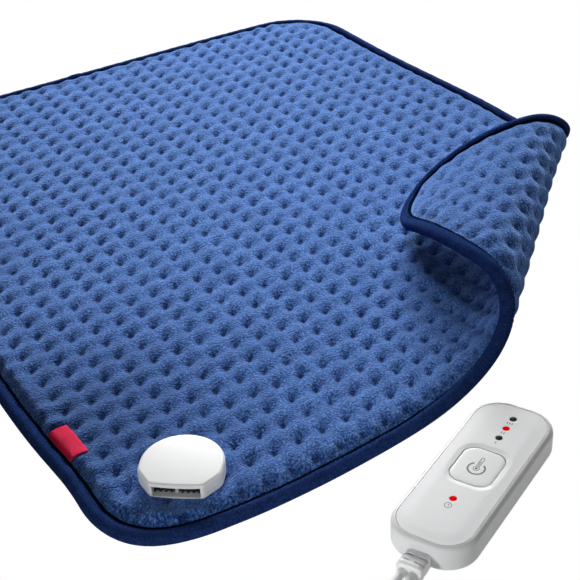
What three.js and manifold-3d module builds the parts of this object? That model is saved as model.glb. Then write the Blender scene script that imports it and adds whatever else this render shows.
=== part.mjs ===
// Electric heating pad with a plug-in hand control.
// The pad is a quilted plush mat with a taped edge, and its front right corner is rolled over.
// The hand control lies in front of it, with its two cords coiled beside it.
// Units are millimetres. +X runs across the pad, +Y from its front edge to its back, +Z is up.

import * as THREE from 'three';
import { mergeVertices } from 'three/addons/utils/BufferGeometryUtils.js';
import Module from 'manifold-3d';

const wasm = await Module();
wasm.setup();

// Clearances
const GAP = 0.3; // between two neighbouring pieces
const SLIDE = 0.35; // round a piece that moves

// Pad outline and layers
const PAD_WIDTH = 508;
const PAD_LENGTH = 610;
const PAD_CORNER = 60;
const LOWER_COVER = 2.6;
const FELT = 0.8;
const WIRE = 1.4;
const UPPER_COVER = 3;
const UPPER_MARGIN = 2.1; // the upper cover where the tape presses it flat
const CREST_INSET = 16; // where the upper cover reaches its full height
const FELT_INSET = 20;
const TUFT_PITCH = 17.3; // on the rolled underside
const TUFT_DEPTH = 1.8;
const TOP_TUFT_PITCH = 23;
const TOP_TUFT_DEPTH = 2.2;
const CORNER_STEPS = 7;

// Edge tape
const TAPE = 1;
const TAPE_WIDTH = 11;
const TAPE_FOLD = 1.2; // thickness round the pad's rim

// Rolled corner
const ROLL_HEADING = THREE.MathUtils.degToRad(-48);
const ROLL_REACH = 231; // from the square corner back to where the pad starts to lift
const ROLL_EASE = 88; // length over which the bend tightens
const ROLL_TURN = THREE.MathUtils.degToRad(165);
const TAIL_LENGTH = 118; // from the end of the bend to the square corner
const TAIL_RADIUS = 118;
const TAIL_EASE = 15;
const ROLL_STEP = 8.65;

// Heating wire
const WIRE_RUNS = 10;
const WIRE_INSET = 34;
const WIRE_LANE = 46; // the return run, in from the left edge
const WIRE_START = 34; // from the socket's centre to the first run's end

// Side label
const LABEL_LENGTH = 29.5;
const LABEL_REACH = 7;
const LABEL_THICKNESS = 0.8;
const LABEL_FROM_FRONT = 108.5;

// Socket on the pad
const SOCKET_FROM_LEFT = 60.3;
const SOCKET_FROM_FRONT = 43;
const SOCKET_HEADING = THREE.MathUtils.degToRad(231.5);
const SOCKET_RADIUS = 24.9;
const SOCKET_STRAIGHT = 9;
const SOCKET_FRONT = 20.5;
const SOCKET_NOSE = 15.8; // half the width of the front face
const SOCKET_FLOOR = 1.5;
const SOCKET_RIM = 3; // height of the base with its rim
const SOCKET_HEIGHT = 10;
const SOCKET_WALL = 1.8;
const SOCKET_ROUND = 1.6;
const MOUTH_WIDTH = 28;
const MOUTH_HEIGHT = 6.2;
const INSERT_DEPTH = 5;
const INSERT_WIDTH = 32;
const INSERT_HEIGHT = 6;
const RIB = 1.8;
const RIB_REACH = 12;
const CONTACT_LENGTH = 11;
const CONTACT_THICKNESS = 0.8;
const CONTACT_HEIGHT = 2.6;
const CONTACT_PLACES = [-9.4, -4.6, 4.6, 9.4];
const LEAD_WIDTH = 7;
const LEAD_THICKNESS = 1.4;
const PLATE_RADIUS = 22;
const PLATE_THICKNESS = 0.5;
const RIVET_SHAFT = 1.2;
const RIVET_HEAD = 2.6;
const RIVET_PLACE = [-14, 9];
const RIVET_BOSS = 2.8;
const RIVET_LENGTH = 7.2;

// Hand control shells
const HANDSET_LENGTH = 133;
const HANDSET_WIDTH = 51;
const HANDSET_HEIGHT = 17;
const HANDSET_CORNER = 19;
const HANDSET_CORNER_STEPS = 5;
const HANDSET_HEADING = THREE.MathUtils.degToRad(26.4);
const HANDSET_CLEAR = 10.5; // from the pad's front edge
const HANDSET_SIDEWAYS = -60; // its centre, from the pad's centre line
const BOTTOM_ROUND = 4;
const TOP_ROUND = 4;
const SEAM_INSET = 2; // from the outer edge to the seam between the shells
const TUB_FLOOR = 2;
const TUB_FILLET = 0.8;
const FACE_THICKNESS = 2.2;
const FACE_SKIRT = 3.6;
const FACE_WALL = 1.5;
const CROWN = 0.4;
const CROWN_INSET = 12;
const DISH_WIDTH = 4;
const DISH_DEPTH = 0.8;

// Button, switch and lights
const BUTTON_LENGTH = 31.5;
const BUTTON_WIDTH = 26;
const BUTTON_CORNER = 8;
const BUTTON_PLACE = 3.4;
const BUTTON_DROP = 0.5; // its top below the face
const BUTTON_LIP = 1.2;
const BUTTON_LIP_THICKNESS = 1.5;
const BUTTON_TRAVEL = 0.5;
const SWITCH_SIZE = 6;
const PLUNGER_RADIUS = 1.6;
const PLUNGER_SOCKET = 1.3;
const LED_RADIUS = 2;
const LED_FROM_END = 15; // the first light, in from the far end
const LED_PITCH = 9.8;
const TIMER_FROM_BUTTON = 30.8;

// Circuit board and what is on it
const BOARD_CLEAR = 12.5; // shorter than the shells at each end
const BOARD_WIDTH = 42;
const BOARD_CORNER = 12;
const BOARD_PLACE = 3;
const BOARD_THICKNESS = 1.6;
const BOARD_HEIGHT = 8; // its underside above the floor
const BOARD_RIB = 2;
const BOARD_RIB_PLACES = [-30, 30];
const SCREW_FROM_END = 20.5;
const SCREW_ACROSS = 16.5;
const SCREW_SHAFT = 1.1;
const SCREW_HEAD = 2.6;
const SCREW_HEAD_HEIGHT = 1.8;
const SCREW_SINK = 0.8; // the head's face above the underside
const SCREW_LENGTH = 9;
const CHIP_FROM_SCREW = 12;
const CAPACITOR_FROM_END = 14;
const POST_RADIUS = 4;
const POST_HEIGHT = 6;
const BOSS_RADIUS = 3;

// Strain relief and cords
const RELIEF_LENGTH = 13.2;
const RELIEF_WIDTH = 15.6;
const RELIEF_HEIGHT = 10.4;
const RELIEF_ROUND = 3.4;
const RELIEF_MIDDLE = 6.2; // height of its centre
const RELIEF_SLOT = 1.4;
const RELIEF_SLOT_DEPTH = 2;
const RELIEF_SLOT_PLACES = [4.6, 8.8];
const RELIEF_WEB = 2.4;
const NECK_WIDTH = 10.4;
const NECK_HEIGHT = 5.2;
const FLANGE_WIDTH = 13;
const FLANGE_HEIGHT = 6.2;
const FLANGE_THICKNESS = 2;
const LEAD_RADIUS = 1.5;
const CORD = 5;
const CORD_SPACING = 6.2;
const CORD_SIDES = 8;
const COIL_SIDES = 6;
const COIL_STEPS = 24;
const COIL_SPREAD = 6;
const COIL_RISE = 6;
const TIE = 1;
const TIE_WIDTH = 10;

// Mains coil and plug, in a frame that starts where the cords leave the strain relief
const MAINS_COIL_AT = 62;
const MAINS_COIL_INNER = 22.5;
const MAINS_COIL_TURNS = 10.25;
const MAINS_COIL_LAYERS = 4;
const MAINS_TIE_ANGLE = THREE.MathUtils.degToRad(120);
const MAINS_TAIL = 58;
const PLUG_LENGTH = 31;
const PLUG_WIDTH = 27;
const PLUG_HEIGHT = 17;
const PLUG_ROUND = 5;
const PLUG_RELIEF_LENGTH = 22;
const BLADE_LENGTH = 17;
const BLADE_ROOT = 8;
const BLADE_THICKNESS = 1.5;
const BLADE_SPACING = 12.7;
const BLADE_NARROW = 6.3;
const BLADE_WIDE = 7.9;

// Pad coil and plug
const PAD_COIL_AT = 95;
const PAD_COIL_INNER = 26;
const PAD_COIL_TURNS = 2.25;
const PAD_COIL_LAYERS = 2;
const PAD_TIE_ANGLE = THREE.MathUtils.degToRad(-120);
const PAD_TAIL = 46;
const GRIP_LENGTH = 26;
const GRIP_WIDTH = 28.4;
const GRIP_HEIGHT = 11;
const GRIP_ROUND = 3;
const PAD_RELIEF_LENGTH = 16;
const NOSE_LENGTH = 11;
const NOSE_WIDTH = 22;
const NOSE_HEIGHT = 5.4;
const LATCH_THICKNESS = 1.5;
const LATCH_HEIGHT = 4.4;
const LATCH_SWING = 1.3; // room behind a latch for its swing
const LATCH_PAD = 14;
const LATCH_PAD_PROUD = 0.8;
const LATCH_BARB = 0.6;

// Colours
const PLUSH_BLUE = { color: 0x3563b4, roughness: 0.95 };
const TAPE_NAVY = { color: 0x1c2c5a, roughness: 0.85 };
const FELT_WHITE = { color: 0xdadad4, roughness: 0.95 };
const WIRE_GREY = { color: 0xb9b4a8, roughness: 0.6 };
const LABEL_RED = { color: 0xd8214b, roughness: 0.7 };
const SHELL_WHITE = { color: 0xeceeef, roughness: 0.25 };
const INSERT_GREY = { color: 0x3c3e42, roughness: 0.6 };
const METAL = { color: 0xb8bac0, roughness: 0.3, metalness: 1 };
const BRASS = { color: 0xc6a45a, roughness: 0.35, metalness: 1 };
const LENS_RED = { color: 0xd6202a, roughness: 0.2 };
const LENS_DARK = { color: 0x1c1414, roughness: 0.2 };
const BOARD_GREEN = { color: 0x2d6a3e, roughness: 0.6 };
const PART_BLACK = { color: 0x202022, roughness: 0.6 };
const PART_YELLOW = { color: 0xd8b13a, roughness: 0.5 };
const CORD_WHITE = { color: 0xe4e6e8, roughness: 0.5 };
const TIE_BLACK = { color: 0x1e1e20, roughness: 0.9 };

// Heights of the pad's layers
const LOWER_TOP = LOWER_COVER;
const FELT_LOW = LOWER_TOP + GAP;
const FELT_TOP = FELT_LOW + FELT;
const WIRE_MIDDLE = FELT_TOP + GAP + WIRE / 2;
const UPPER_LOW = FELT_TOP + 2 * GAP + WIRE;
const CREST = UPPER_LOW + UPPER_COVER;
const MARGIN_LOW = TAPE + GAP;
const MARGIN_JOIN = LOWER_TOP + GAP;
const MARGIN_TOP = MARGIN_JOIN + UPPER_MARGIN;
const TAPE_UNDER = MARGIN_TOP + GAP;
const TAPE_TOP = TAPE_UNDER + TAPE;
const COVER_INSET = TAPE_FOLD + GAP;
const MARGIN_INSET = TAPE_WIDTH + GAP;

// Solids

class Skin {
  constructor() {
    this.points = [];
    this.faces = [];
  }

  add(point) {
    this.points.push(point.x, point.y, point.z);
    return this.points.length / 3 - 1;
  }

  face(a, b, c) {
    this.faces.push(a, b, c);
  }

  quad(a, b, c, d) {
    this.face(a, b, c);
    this.face(a, c, d);
  }

  fan(ring, turned) {
    for (let i = 1; i < ring.length - 1; i += 1) {
      if (turned) this.face(ring[0], ring[i + 1], ring[i]);
      else this.face(ring[0], ring[i], ring[i + 1]);
    }
  }

  // Joins equal rings of points one after another, and closes both ends.
  bridge(rings) {
    for (let i = 0; i < rings.length - 1; i += 1) {
      const here = rings[i];
      const there = rings[i + 1];
      here.forEach((point, j) => {
        const next = (j + 1) % here.length;
        this.quad(point, here[next], there[next], there[j]);
      });
    }
    this.fan(rings[0], true);
    this.fan(rings[rings.length - 1], false);
  }

  volume() {
    const at = (i) => new THREE.Vector3().fromArray(this.points, 3 * i);
    let total = 0;
    for (let i = 0; i < this.faces.length; i += 3) {
      const [a, b, c] = this.faces.slice(i, i + 3).map(at);
      total += a.dot(b.cross(c)) / 6;
    }
    return total;
  }

  geometry() {
    const faces = this.volume() < 0 ? [...this.faces].reverse() : this.faces;
    const geometry = new THREE.BufferGeometry();
    geometry.setAttribute('position', new THREE.Float32BufferAttribute(this.points, 3));
    geometry.setIndex(faces);
    geometry.computeVertexNormals();
    return geometry;
  }
}

function toManifold(geometry) {
  const plain = new THREE.BufferGeometry();
  plain.setAttribute('position', geometry.attributes.position);
  plain.setIndex(geometry.index);
  const merged = mergeVertices(plain, 1e-4);
  return new wasm.Manifold(new wasm.Mesh({
    numProp: 3,
    vertProperties: new Float32Array(merged.attributes.position.array),
    triVerts: new Uint32Array(merged.index.array),
  }));
}

function fromManifold(solid) {
  const mesh = solid.getMesh();
  const geometry = new THREE.BufferGeometry();
  geometry.setAttribute('position', new THREE.Float32BufferAttribute(mesh.vertProperties, 3));
  geometry.setIndex([...mesh.triVerts]);
  geometry.computeVertexNormals();
  return geometry;
}

function cut(body, tools) {
  return fromManifold(tools.reduce((rest, tool) => rest.subtract(toManifold(tool)), toManifold(body)));
}

function join(body, others) {
  return fromManifold(others.reduce((sum, other) => sum.add(toManifold(other)), toManifold(body)));
}

function box(low, high) {
  const size = high.map((value, i) => value - low[i]);
  const geometry = new THREE.BoxGeometry(...size);
  return geometry.translate(...low.map((value, i) => value + size[i] / 2));
}

function post(x, y, radius, low, high, sides = 12) {
  const geometry = new THREE.CylinderGeometry(radius, radius, high - low, sides);
  return geometry.rotateX(Math.PI / 2).translate(x, y, (low + high) / 2);
}

function roundedOutline(length, width, radius, inset = 0, steps = CORNER_STEPS) {
  const round = Math.max(radius - inset, 0.2);
  const points = [];
  for (let corner = 0; corner < 4; corner += 1) {
    const sideX = corner === 0 || corner === 3 ? 1 : -1;
    const sideY = corner < 2 ? 1 : -1;
    for (let step = 0; step <= steps; step += 1) {
      const angle = (corner + step / steps) * Math.PI / 2;
      const x = sideX * (length / 2 - inset - round) + round * Math.cos(angle);
      const y = sideY * (width / 2 - inset - round) + round * Math.sin(angle);
      points.push(new THREE.Vector2(x, y));
    }
  }
  return points;
}

// A solid through level outlines, each given as its points and its height.
function column(levels) {
  const skin = new Skin();
  const rings = levels.map(([outline, z]) => outline.map((p) => skin.add(new THREE.Vector3(p.x, p.y, z))));
  skin.bridge(rings);
  return skin.geometry();
}

// A round tube along a line of points, with flat ends square to it.
function tube(points, radius, sides) {
  const skin = new Skin();
  const last = points.length - 1;
  const heading = points.map((point, i) => {
    const before = points[Math.max(i - 1, 0)];
    const after = points[Math.min(i + 1, last)];
    return after.clone().sub(before).normalize();
  });
  const up = Math.abs(heading[0].z) < 0.9 ? new THREE.Vector3(0, 0, 1) : new THREE.Vector3(1, 0, 0);
  const normal = up.sub(heading[0].clone().multiplyScalar(up.dot(heading[0]))).normalize();
  const turn = new THREE.Quaternion();
  const rings = points.map((point, i) => {
    if (i > 0) normal.applyQuaternion(turn.setFromUnitVectors(heading[i - 1], heading[i]));
    const side = new THREE.Vector3().crossVectors(heading[i], normal);
    return Array.from({ length: sides }, (unused, k) => {
      const angle = 2 * Math.PI * (k + 0.5) / sides;
      const rim = point.clone();
      rim.addScaledVector(normal, radius * Math.cos(angle));
      rim.addScaledVector(side, radius * Math.sin(angle));
      return skin.add(rim);
    });
  });
  skin.bridge(rings);
  return skin.geometry();
}

function add(group, name, geometry, look) {
  const mesh = new THREE.Mesh(geometry, new THREE.MeshStandardMaterial(look));
  mesh.name = name;
  group.add(mesh);
}

// The rolled corner of the pad
// Flat points are turned up along straight lines that run across the roll's heading.

const rollAlong = new THREE.Vector2(Math.cos(ROLL_HEADING), Math.sin(ROLL_HEADING));
const rollAcross = new THREE.Vector2(-rollAlong.y, rollAlong.x);
const rollStart = new THREE.Vector2(PAD_WIDTH / 2, -PAD_LENGTH / 2).dot(rollAlong) - ROLL_REACH;
const rollCorner = new THREE.Vector2(PAD_WIDTH / 2 - PAD_CORNER, PAD_CORNER - PAD_LENGTH / 2);

function rollProfile() {
  const tightest = (ROLL_REACH - TAIL_LENGTH - ROLL_EASE / 2) / ROLL_TURN;
  const stops = [{ turn: 0, run: 0, rise: 0 }];
  let tailFrom = Infinity;
  for (let past = 1; past <= ROLL_REACH; past += 1) {
    const before = stops[past - 1];
    if (before.turn > ROLL_TURN) tailFrom = Math.min(tailFrom, past);
    const share = THREE.MathUtils.clamp((past - tailFrom) / TAIL_EASE, 0, 1);
    const tight = Math.min(past / ROLL_EASE, 1) / tightest;
    const turn = before.turn + THREE.MathUtils.lerp(tight, 1 / TAIL_RADIUS, share);
    const middle = (before.turn + turn) / 2;
    stops.push({ turn, run: before.run + Math.cos(middle), rise: before.rise + Math.sin(middle) });
  }
  return stops;
}

const rollStops = rollProfile();

function rollAt(past, key) {
  const index = Math.min(Math.floor(past), rollStops.length - 2);
  return THREE.MathUtils.lerp(rollStops[index][key], rollStops[index + 1][key], past - index);
}

function layOut(x, y, height) {
  const flat = new THREE.Vector2(x, y);
  const past = flat.dot(rollAlong) - rollStart;
  if (past <= 0) return new THREE.Vector3(x, y, height);
  const turn = rollAt(past, 'turn');
  const along = rollStart + rollAt(past, 'run') - height * Math.sin(turn);
  const across = flat.dot(rollAcross);
  return new THREE.Vector3(
    rollAlong.x * along + rollAcross.x * across,
    rollAlong.y * along + rollAcross.y * across,
    rollAt(past, 'rise') + height * Math.cos(turn),
  );
}

// How far a flat point lies outside the pad's edge, negative inside it.
function beyondEdge(x, y) {
  const dx = Math.abs(x) - PAD_WIDTH / 2 + PAD_CORNER;
  const dy = Math.abs(y) - PAD_LENGTH / 2 + PAD_CORNER;
  return Math.hypot(Math.max(dx, 0), Math.max(dy, 0)) + Math.min(Math.max(dx, dy), 0) - PAD_CORNER;
}

function edgeNormal(x, y) {
  const dx = Math.max(Math.abs(x) - PAD_WIDTH / 2 + PAD_CORNER, 0);
  const dy = Math.max(Math.abs(y) - PAD_LENGTH / 2 + PAD_CORNER, 0);
  return new THREE.Vector2(dx * Math.sign(x), dy * Math.sign(y)).normalize();
}

// Lines across the roll, closer together towards its tip.
function rollRows(inset) {
  const tip = rollCorner.dot(rollAlong) + PAD_CORNER - inset;
  const rows = [];
  for (let along = rollStart + ROLL_STEP; along < tip - 1.2 * ROLL_STEP; along += ROLL_STEP) {
    rows.push(along);
  }
  rows.push(tip - 0.6 * ROLL_STEP, tip - 0.2 * ROLL_STEP);
  return rows;
}

function rowEnd(along, inset, side) {
  let inner = rollCorner.dot(rollAcross);
  let outer = inner + side * (PAD_LENGTH + PAD_WIDTH);
  for (let step = 0; step < 50; step += 1) {
    const across = (inner + outer) / 2;
    const x = rollAlong.x * along + rollAcross.x * across;
    const y = rollAlong.y * along + rollAcross.y * across;
    if (beyondEdge(x, y) < -inset) inner = across;
    else outer = across;
  }
  return inner;
}

// Points round the pad at one inset, counterclockwise from where the roll starts on the right edge.
function padEdge(inset) {
  const stations = [];
  const place = (x, y) => stations.push({ x, y, out: edgeNormal(x, y) });
  const onRow = (along, across) => place(
    rollAlong.x * along + rollAcross.x * across,
    rollAlong.y * along + rollAcross.y * across,
  );
  const rows = rollRows(inset);
  onRow(rollStart, rowEnd(rollStart, inset, 1));
  const corners = roundedOutline(PAD_WIDTH, PAD_LENGTH, PAD_CORNER, inset);
  corners.slice(0, 3 * (CORNER_STEPS + 1)).forEach((point) => place(point.x, point.y));
  onRow(rollStart, rowEnd(rollStart, inset, -1));
  const flatCount = stations.length;
  rows.forEach((along) => onRow(along, rowEnd(along, inset, -1)));
  const tip = rollCorner.clone().addScaledVector(rollAlong, PAD_CORNER - inset);
  place(tip.x, tip.y);
  [...rows].reverse().forEach((along) => onRow(along, rowEnd(along, inset, 1)));
  return { stations, rows, flatCount };
}

function acrossOf(station) {
  return station.x * rollAcross.x + station.y * rollAcross.y;
}

// Square tufts on the flat part: each is four faces that fall to its middle.
function tuftBlock(skin, height, sink, limit) {
  const columns = Math.floor(PAD_WIDTH / TOP_TUFT_PITCH);
  const lines = Math.floor(PAD_LENGTH / TOP_TUFT_PITCH);
  const spot = (i, j) => new THREE.Vector2(i - columns / 2, j - lines / 2).multiplyScalar(TOP_TUFT_PITCH);
  const fits = (p) => beyondEdge(p.x, p.y) < -limit && p.dot(rollAlong) < rollStart - 1;
  const known = new Map();
  const corner = (i, j) => {
    const key = `${i} ${j}`;
    const p = spot(i, j);
    if (!known.has(key)) known.set(key, { p, index: skin.add(layOut(p.x, p.y, height)) });
    return known.get(key);
  };
  const faces = [];
  const rim = new Map();
  for (let i = 0; i < columns; i += 1) {
    for (let j = 0; j < lines; j += 1) {
      const cell = [[i, j], [i + 1, j], [i + 1, j + 1], [i, j + 1]];
      if (!cell.every(([a, b]) => fits(spot(a, b)))) continue;
      const ring = cell.map(([a, b]) => corner(a, b));
      const pit = spot(i + 0.5, j + 0.5);
      const middle = skin.add(layOut(pit.x, pit.y, height - sink));
      ring.forEach((start, k) => {
        const end = ring[(k + 1) % 4];
        faces.push([start.index, end.index, middle]);
        const shared = rim.delete(`${end.index} ${start.index}`);
        if (!shared) rim.set(`${start.index} ${end.index}`, [start, end]);
      });
    }
  }
  const after = new Map([...rim.values()].map(([start, end]) => [start.index, end]));
  const outline = [[...rim.values()][0][0]];
  while (outline.length < after.size) outline.push(after.get(outline[outline.length - 1].index));
  return { faces, outline };
}

// Joins two lines of points that run side by side.
function zip(face, near, far) {
  let i = 0;
  let j = 0;
  while (i < near.length - 1 || j < far.length - 1) {
    const stepFar = i === near.length - 1 || (j < far.length - 1 && far[j + 1].across < near[i + 1].across);
    if (stepFar) {
      face(near[i].index, far[j].index, far[j + 1].index);
      j += 1;
    } else {
      face(near[i].index, far[j].index, near[i + 1].index);
      i += 1;
    }
  }
}

// Fills one side of a layer inside its last ring of points.
function fillSide(skin, edge, ring, side) {
  const face = (a, b, c) => (side.up ? skin.face(a, b, c) : skin.face(a, c, b));
  const flat = ring.slice(0, edge.flatCount);
  const flatStations = edge.stations.slice(0, edge.flatCount);
  const outline = flatStations.map((station) => new THREE.Vector2(station.x, station.y));
  const block = side.flatTufts
    ? tuftBlock(skin, side.height, side.sink, CREST_INSET + 3)
    : { faces: [], outline: [] };
  const hole = block.outline.map((corner) => corner.p);
  const places = [...outline, ...hole];
  const indices = [...flat, ...block.outline.map((corner) => corner.index)];
  block.faces.forEach((triple) => face(...triple));
  THREE.ShapeUtils.triangulateShape([...outline], hole.length ? [[...hole]] : []).forEach(([a, b, c]) => {
    const turned = THREE.ShapeUtils.area([places[a], places[b], places[c]]) < 0;
    if (turned) face(indices[a], indices[c], indices[b]);
    else face(indices[a], indices[b], indices[c]);
  });
  const count = edge.stations.length;
  const end = (k) => ({ index: ring[k], across: acrossOf(edge.stations[k]) });
  let near = [end(edge.flatCount - 1), end(0)];
  edge.rows.forEach((along, k) => {
    const left = end(edge.flatCount + k);
    const right = end(count - 1 - k);
    const far = [left];
    const first = Math.ceil(left.across / TUFT_PITCH + 0.6);
    const last = Math.floor(right.across / TUFT_PITCH - 0.6);
    for (let m = first; side.rolledTufts && m <= last; m += 1) {
      const across = m * TUFT_PITCH;
      const height = side.height + ((k + m) % 2 === 0 ? side.sink : 0);
      const x = rollAlong.x * along + rollAcross.x * across;
      const y = rollAlong.y * along + rollAcross.y * across;
      far.push({ index: skin.add(layOut(x, y, height)), across });
    }
    far.push(right);
    zip(face, near, far);
    near = far;
  });
  zip(face, near, [end(edge.flatCount + edge.rows.length)]);
}

// A layer of the pad: rings from its rim inwards, each with a low and a high side.
function layer(rings, tufts = {}) {
  const base = rings[rings.length - 1];
  const edge = padEdge(base.inset);
  const skin = new Skin();
  const ringAt = (ring, height) => edge.stations.map(({ x, y, out }) => {
    const move = base.inset - ring.inset;
    return skin.add(layOut(x + out.x * move, y + out.y * move, height));
  });
  const low = rings.map((ring) => ringAt(ring, ring.low));
  const high = rings.map((ring) => ringAt(ring, ring.high));
  edge.stations.forEach((station, j) => {
    const next = (j + 1) % edge.stations.length;
    skin.quad(low[0][j], low[0][next], high[0][next], high[0][j]);
    for (let r = 0; r < rings.length - 1; r += 1) {
      skin.quad(high[r][j], high[r][next], high[r + 1][next], high[r + 1][j]);
      skin.quad(low[r][j], low[r + 1][j], low[r + 1][next], low[r][next]);
    }
  });
  fillSide(skin, edge, high[high.length - 1], { up: true, height: base.high, ...tufts.above });
  fillSide(skin, edge, low[low.length - 1], { up: false, height: base.low, ...tufts.below });
  return skin.geometry();
}

function edgeTape() {
  const section = [
    [TAPE_WIDTH, TAPE_UNDER],
    [TAPE_WIDTH, TAPE_TOP - 0.3 * TAPE],
    [TAPE_WIDTH - 1.5 * TAPE, TAPE_TOP],
    [2.6 * TAPE, TAPE_TOP],
    [0.7 * TAPE, TAPE_TOP - 1.2 * TAPE],
    [0, TAPE_TOP / 2],
    [0.7 * TAPE, 0.9 * TAPE],
    [2.6 * TAPE, 0],
    [TAPE_WIDTH, 0],
    [TAPE_WIDTH, TAPE],
    [TAPE_FOLD, TAPE],
    [TAPE_FOLD, TAPE_UNDER],
  ];
  const edge = padEdge(CREST_INSET);
  const skin = new Skin();
  const rings = edge.stations.map(({ x, y, out }) => section.map(([inset, height]) => {
    const move = CREST_INSET - inset;
    return skin.add(layOut(x + out.x * move, y + out.y * move, height));
  }));
  rings.forEach((here, j) => {
    const there = rings[(j + 1) % rings.length];
    section.forEach(([inset], k) => {
      const next = (k + 1) % section.length;
      const inwards = inset <= section[next][0];
      if (inwards) skin.quad(here[k], here[next], there[next], there[k]);
      else skin.quad(here[next], there[next], there[k], here[k]);
    });
  });
  return skin.geometry();
}

// The socket's place and what passes through the upper cover under it

const socketX = SOCKET_FROM_LEFT - PAD_WIDTH / 2;
const socketY = SOCKET_FROM_FRONT - PAD_LENGTH / 2;

function toSocket(geometry) {
  return geometry.clone().rotateZ(SOCKET_HEADING).translate(socketX, socketY, 0);
}

const contactTail = SOCKET_FRONT - SOCKET_WALL - RIB_REACH - INSERT_DEPTH - 2;
const leadMiddle = contactTail - GAP - LEAD_THICKNESS / 2;
const leadPlace = (CONTACT_PLACES[2] + CONTACT_PLACES[3]) / 2;

function leadBox(side, spare, low, high) {
  const y = side * leadPlace;
  return box(
    [leadMiddle - LEAD_THICKNESS / 2 - spare, y - LEAD_WIDTH / 2 - spare, low],
    [leadMiddle + LEAD_THICKNESS / 2 + spare, y + LEAD_WIDTH / 2 + spare, high],
  );
}

function underSocket(low, high) {
  return [-1, 1].flatMap((side) => [
    leadBox(side, GAP, low, high),
    post(RIVET_PLACE[0], side * RIVET_PLACE[1], RIVET_SHAFT + GAP, low, high, 8),
  ]);
}

// Pad pieces

function heatingWire() {
  const left = WIRE_LANE - PAD_WIDTH / 2;
  const right = PAD_WIDTH / 2 - WIRE_INSET;
  const front = socketY;
  const back = PAD_LENGTH / 2 - WIRE_INSET;
  const pitch = (back - front) / (WIRE_RUNS - 1);
  const route = [new THREE.Vector2(socketX + WIRE_START, front)];
  for (let run = 0; run < WIRE_RUNS; run += 1) {
    const y = front + run * pitch;
    const side = run % 2 === 0 ? 1 : -1;
    const lastRun = run === WIRE_RUNS - 1;
    const turnAt = side > 0 ? right - pitch / 2 : left + pitch + (lastRun ? -pitch / 2 : 0);
    route.push(new THREE.Vector2(turnAt, y));
    for (let step = 1; step <= 4 && !lastRun; step += 1) {
      const angle = (step / 5 - 0.5) * Math.PI;
      const x = turnAt + side * pitch / 2 * Math.cos(angle);
      route.push(new THREE.Vector2(x, y + pitch / 2 * (1 + Math.sin(angle))));
    }
    if (!lastRun) route.push(new THREE.Vector2(turnAt, y + pitch));
  }
  for (let step = 1; step <= 3; step += 1) {
    const angle = step / 3 * Math.PI / 2;
    route.push(new THREE.Vector2(
      left + pitch / 2 * (1 - Math.sin(angle)),
      back - pitch / 2 * (1 - Math.cos(angle)),
    ));
  }
  route.push(new THREE.Vector2(left, socketY + PLATE_RADIUS + 2));
  const rows = [rollStart, ...rollRows(FELT_INSET)];
  const points = [];
  route.forEach((point, i) => {
    if (i > 0 && point.distanceTo(route[i - 1]) < 0.01) return;
    if (i > 0) {
      const from = route[i - 1];
      const start = from.dot(rollAlong);
      const reach = point.dot(rollAlong) - start;
      const crossings = rows.map((along) => (along - start) / reach).sort((a, b) => a - b);
      crossings.filter((share) => share > 0.02 && share < 0.98).forEach((share) => {
        points.push(from.clone().lerp(point, share));
      });
    }
    points.push(point);
  });
  return tube(points.map((p) => layOut(p.x, p.y, WIRE_MIDDLE)), WIRE / 2, 5);
}

function sideLabel() {
  const rise = CREST + GAP;
  const foot = MARGIN_INSET + GAP;
  const footLow = MARGIN_TOP + 2 * GAP;
  const end = CREST_INSET + LABEL_REACH;
  const near = LABEL_FROM_FRONT - LABEL_LENGTH / 2 - PAD_LENGTH / 2;
  const far = near + LABEL_LENGTH;
  const stations = [
    [[foot, footLow], [foot, footLow + LABEL_THICKNESS]],
    [[CREST_INSET, rise], [CREST_INSET - LABEL_THICKNESS / 2, rise + LABEL_THICKNESS]],
    [[end, rise], [end, rise + LABEL_THICKNESS]],
  ];
  const skin = new Skin();
  const place = ([inset, z], y) => skin.add(new THREE.Vector3(inset - PAD_WIDTH / 2, y, z));
  skin.bridge(stations.map(([under, over]) => [
    place(under, near),
    place(under, far),
    place(over, far),
    place(over, near),
  ]));
  return skin.geometry();
}

const pad = new THREE.Group();
const upperCover = layer([
  { inset: COVER_INSET, low: MARGIN_JOIN, high: MARGIN_TOP },
  { inset: MARGIN_INSET, low: MARGIN_JOIN, high: MARGIN_TOP },
  { inset: CREST_INSET, low: UPPER_LOW, high: CREST },
], { above: { flatTufts: true, sink: TOP_TUFT_DEPTH } });
const lowerCover = layer([
  { inset: COVER_INSET, low: MARGIN_LOW, high: LOWER_TOP },
  { inset: MARGIN_INSET, low: MARGIN_LOW, high: LOWER_TOP },
  { inset: CREST_INSET, low: 0, high: LOWER_TOP },
], { below: { rolledTufts: true, sink: TUFT_DEPTH } });
add(pad, 'pad_top_cover', cut(upperCover, underSocket(FELT_TOP, CREST + 1).map(toSocket)), PLUSH_BLUE);
add(pad, 'pad_bottom_cover', lowerCover, PLUSH_BLUE);
add(pad, 'pad_edge_binding', edgeTape(), TAPE_NAVY);
add(pad, 'heater_felt', layer([{ inset: FELT_INSET, low: FELT_LOW, high: FELT_TOP }]), FELT_WHITE);
add(pad, 'heating_wire', heatingWire(), WIRE_GREY);
add(pad, 'side_label', sideLabel(), LABEL_RED);

// Socket pieces, in a frame whose +X is the way a plug comes out

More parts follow.
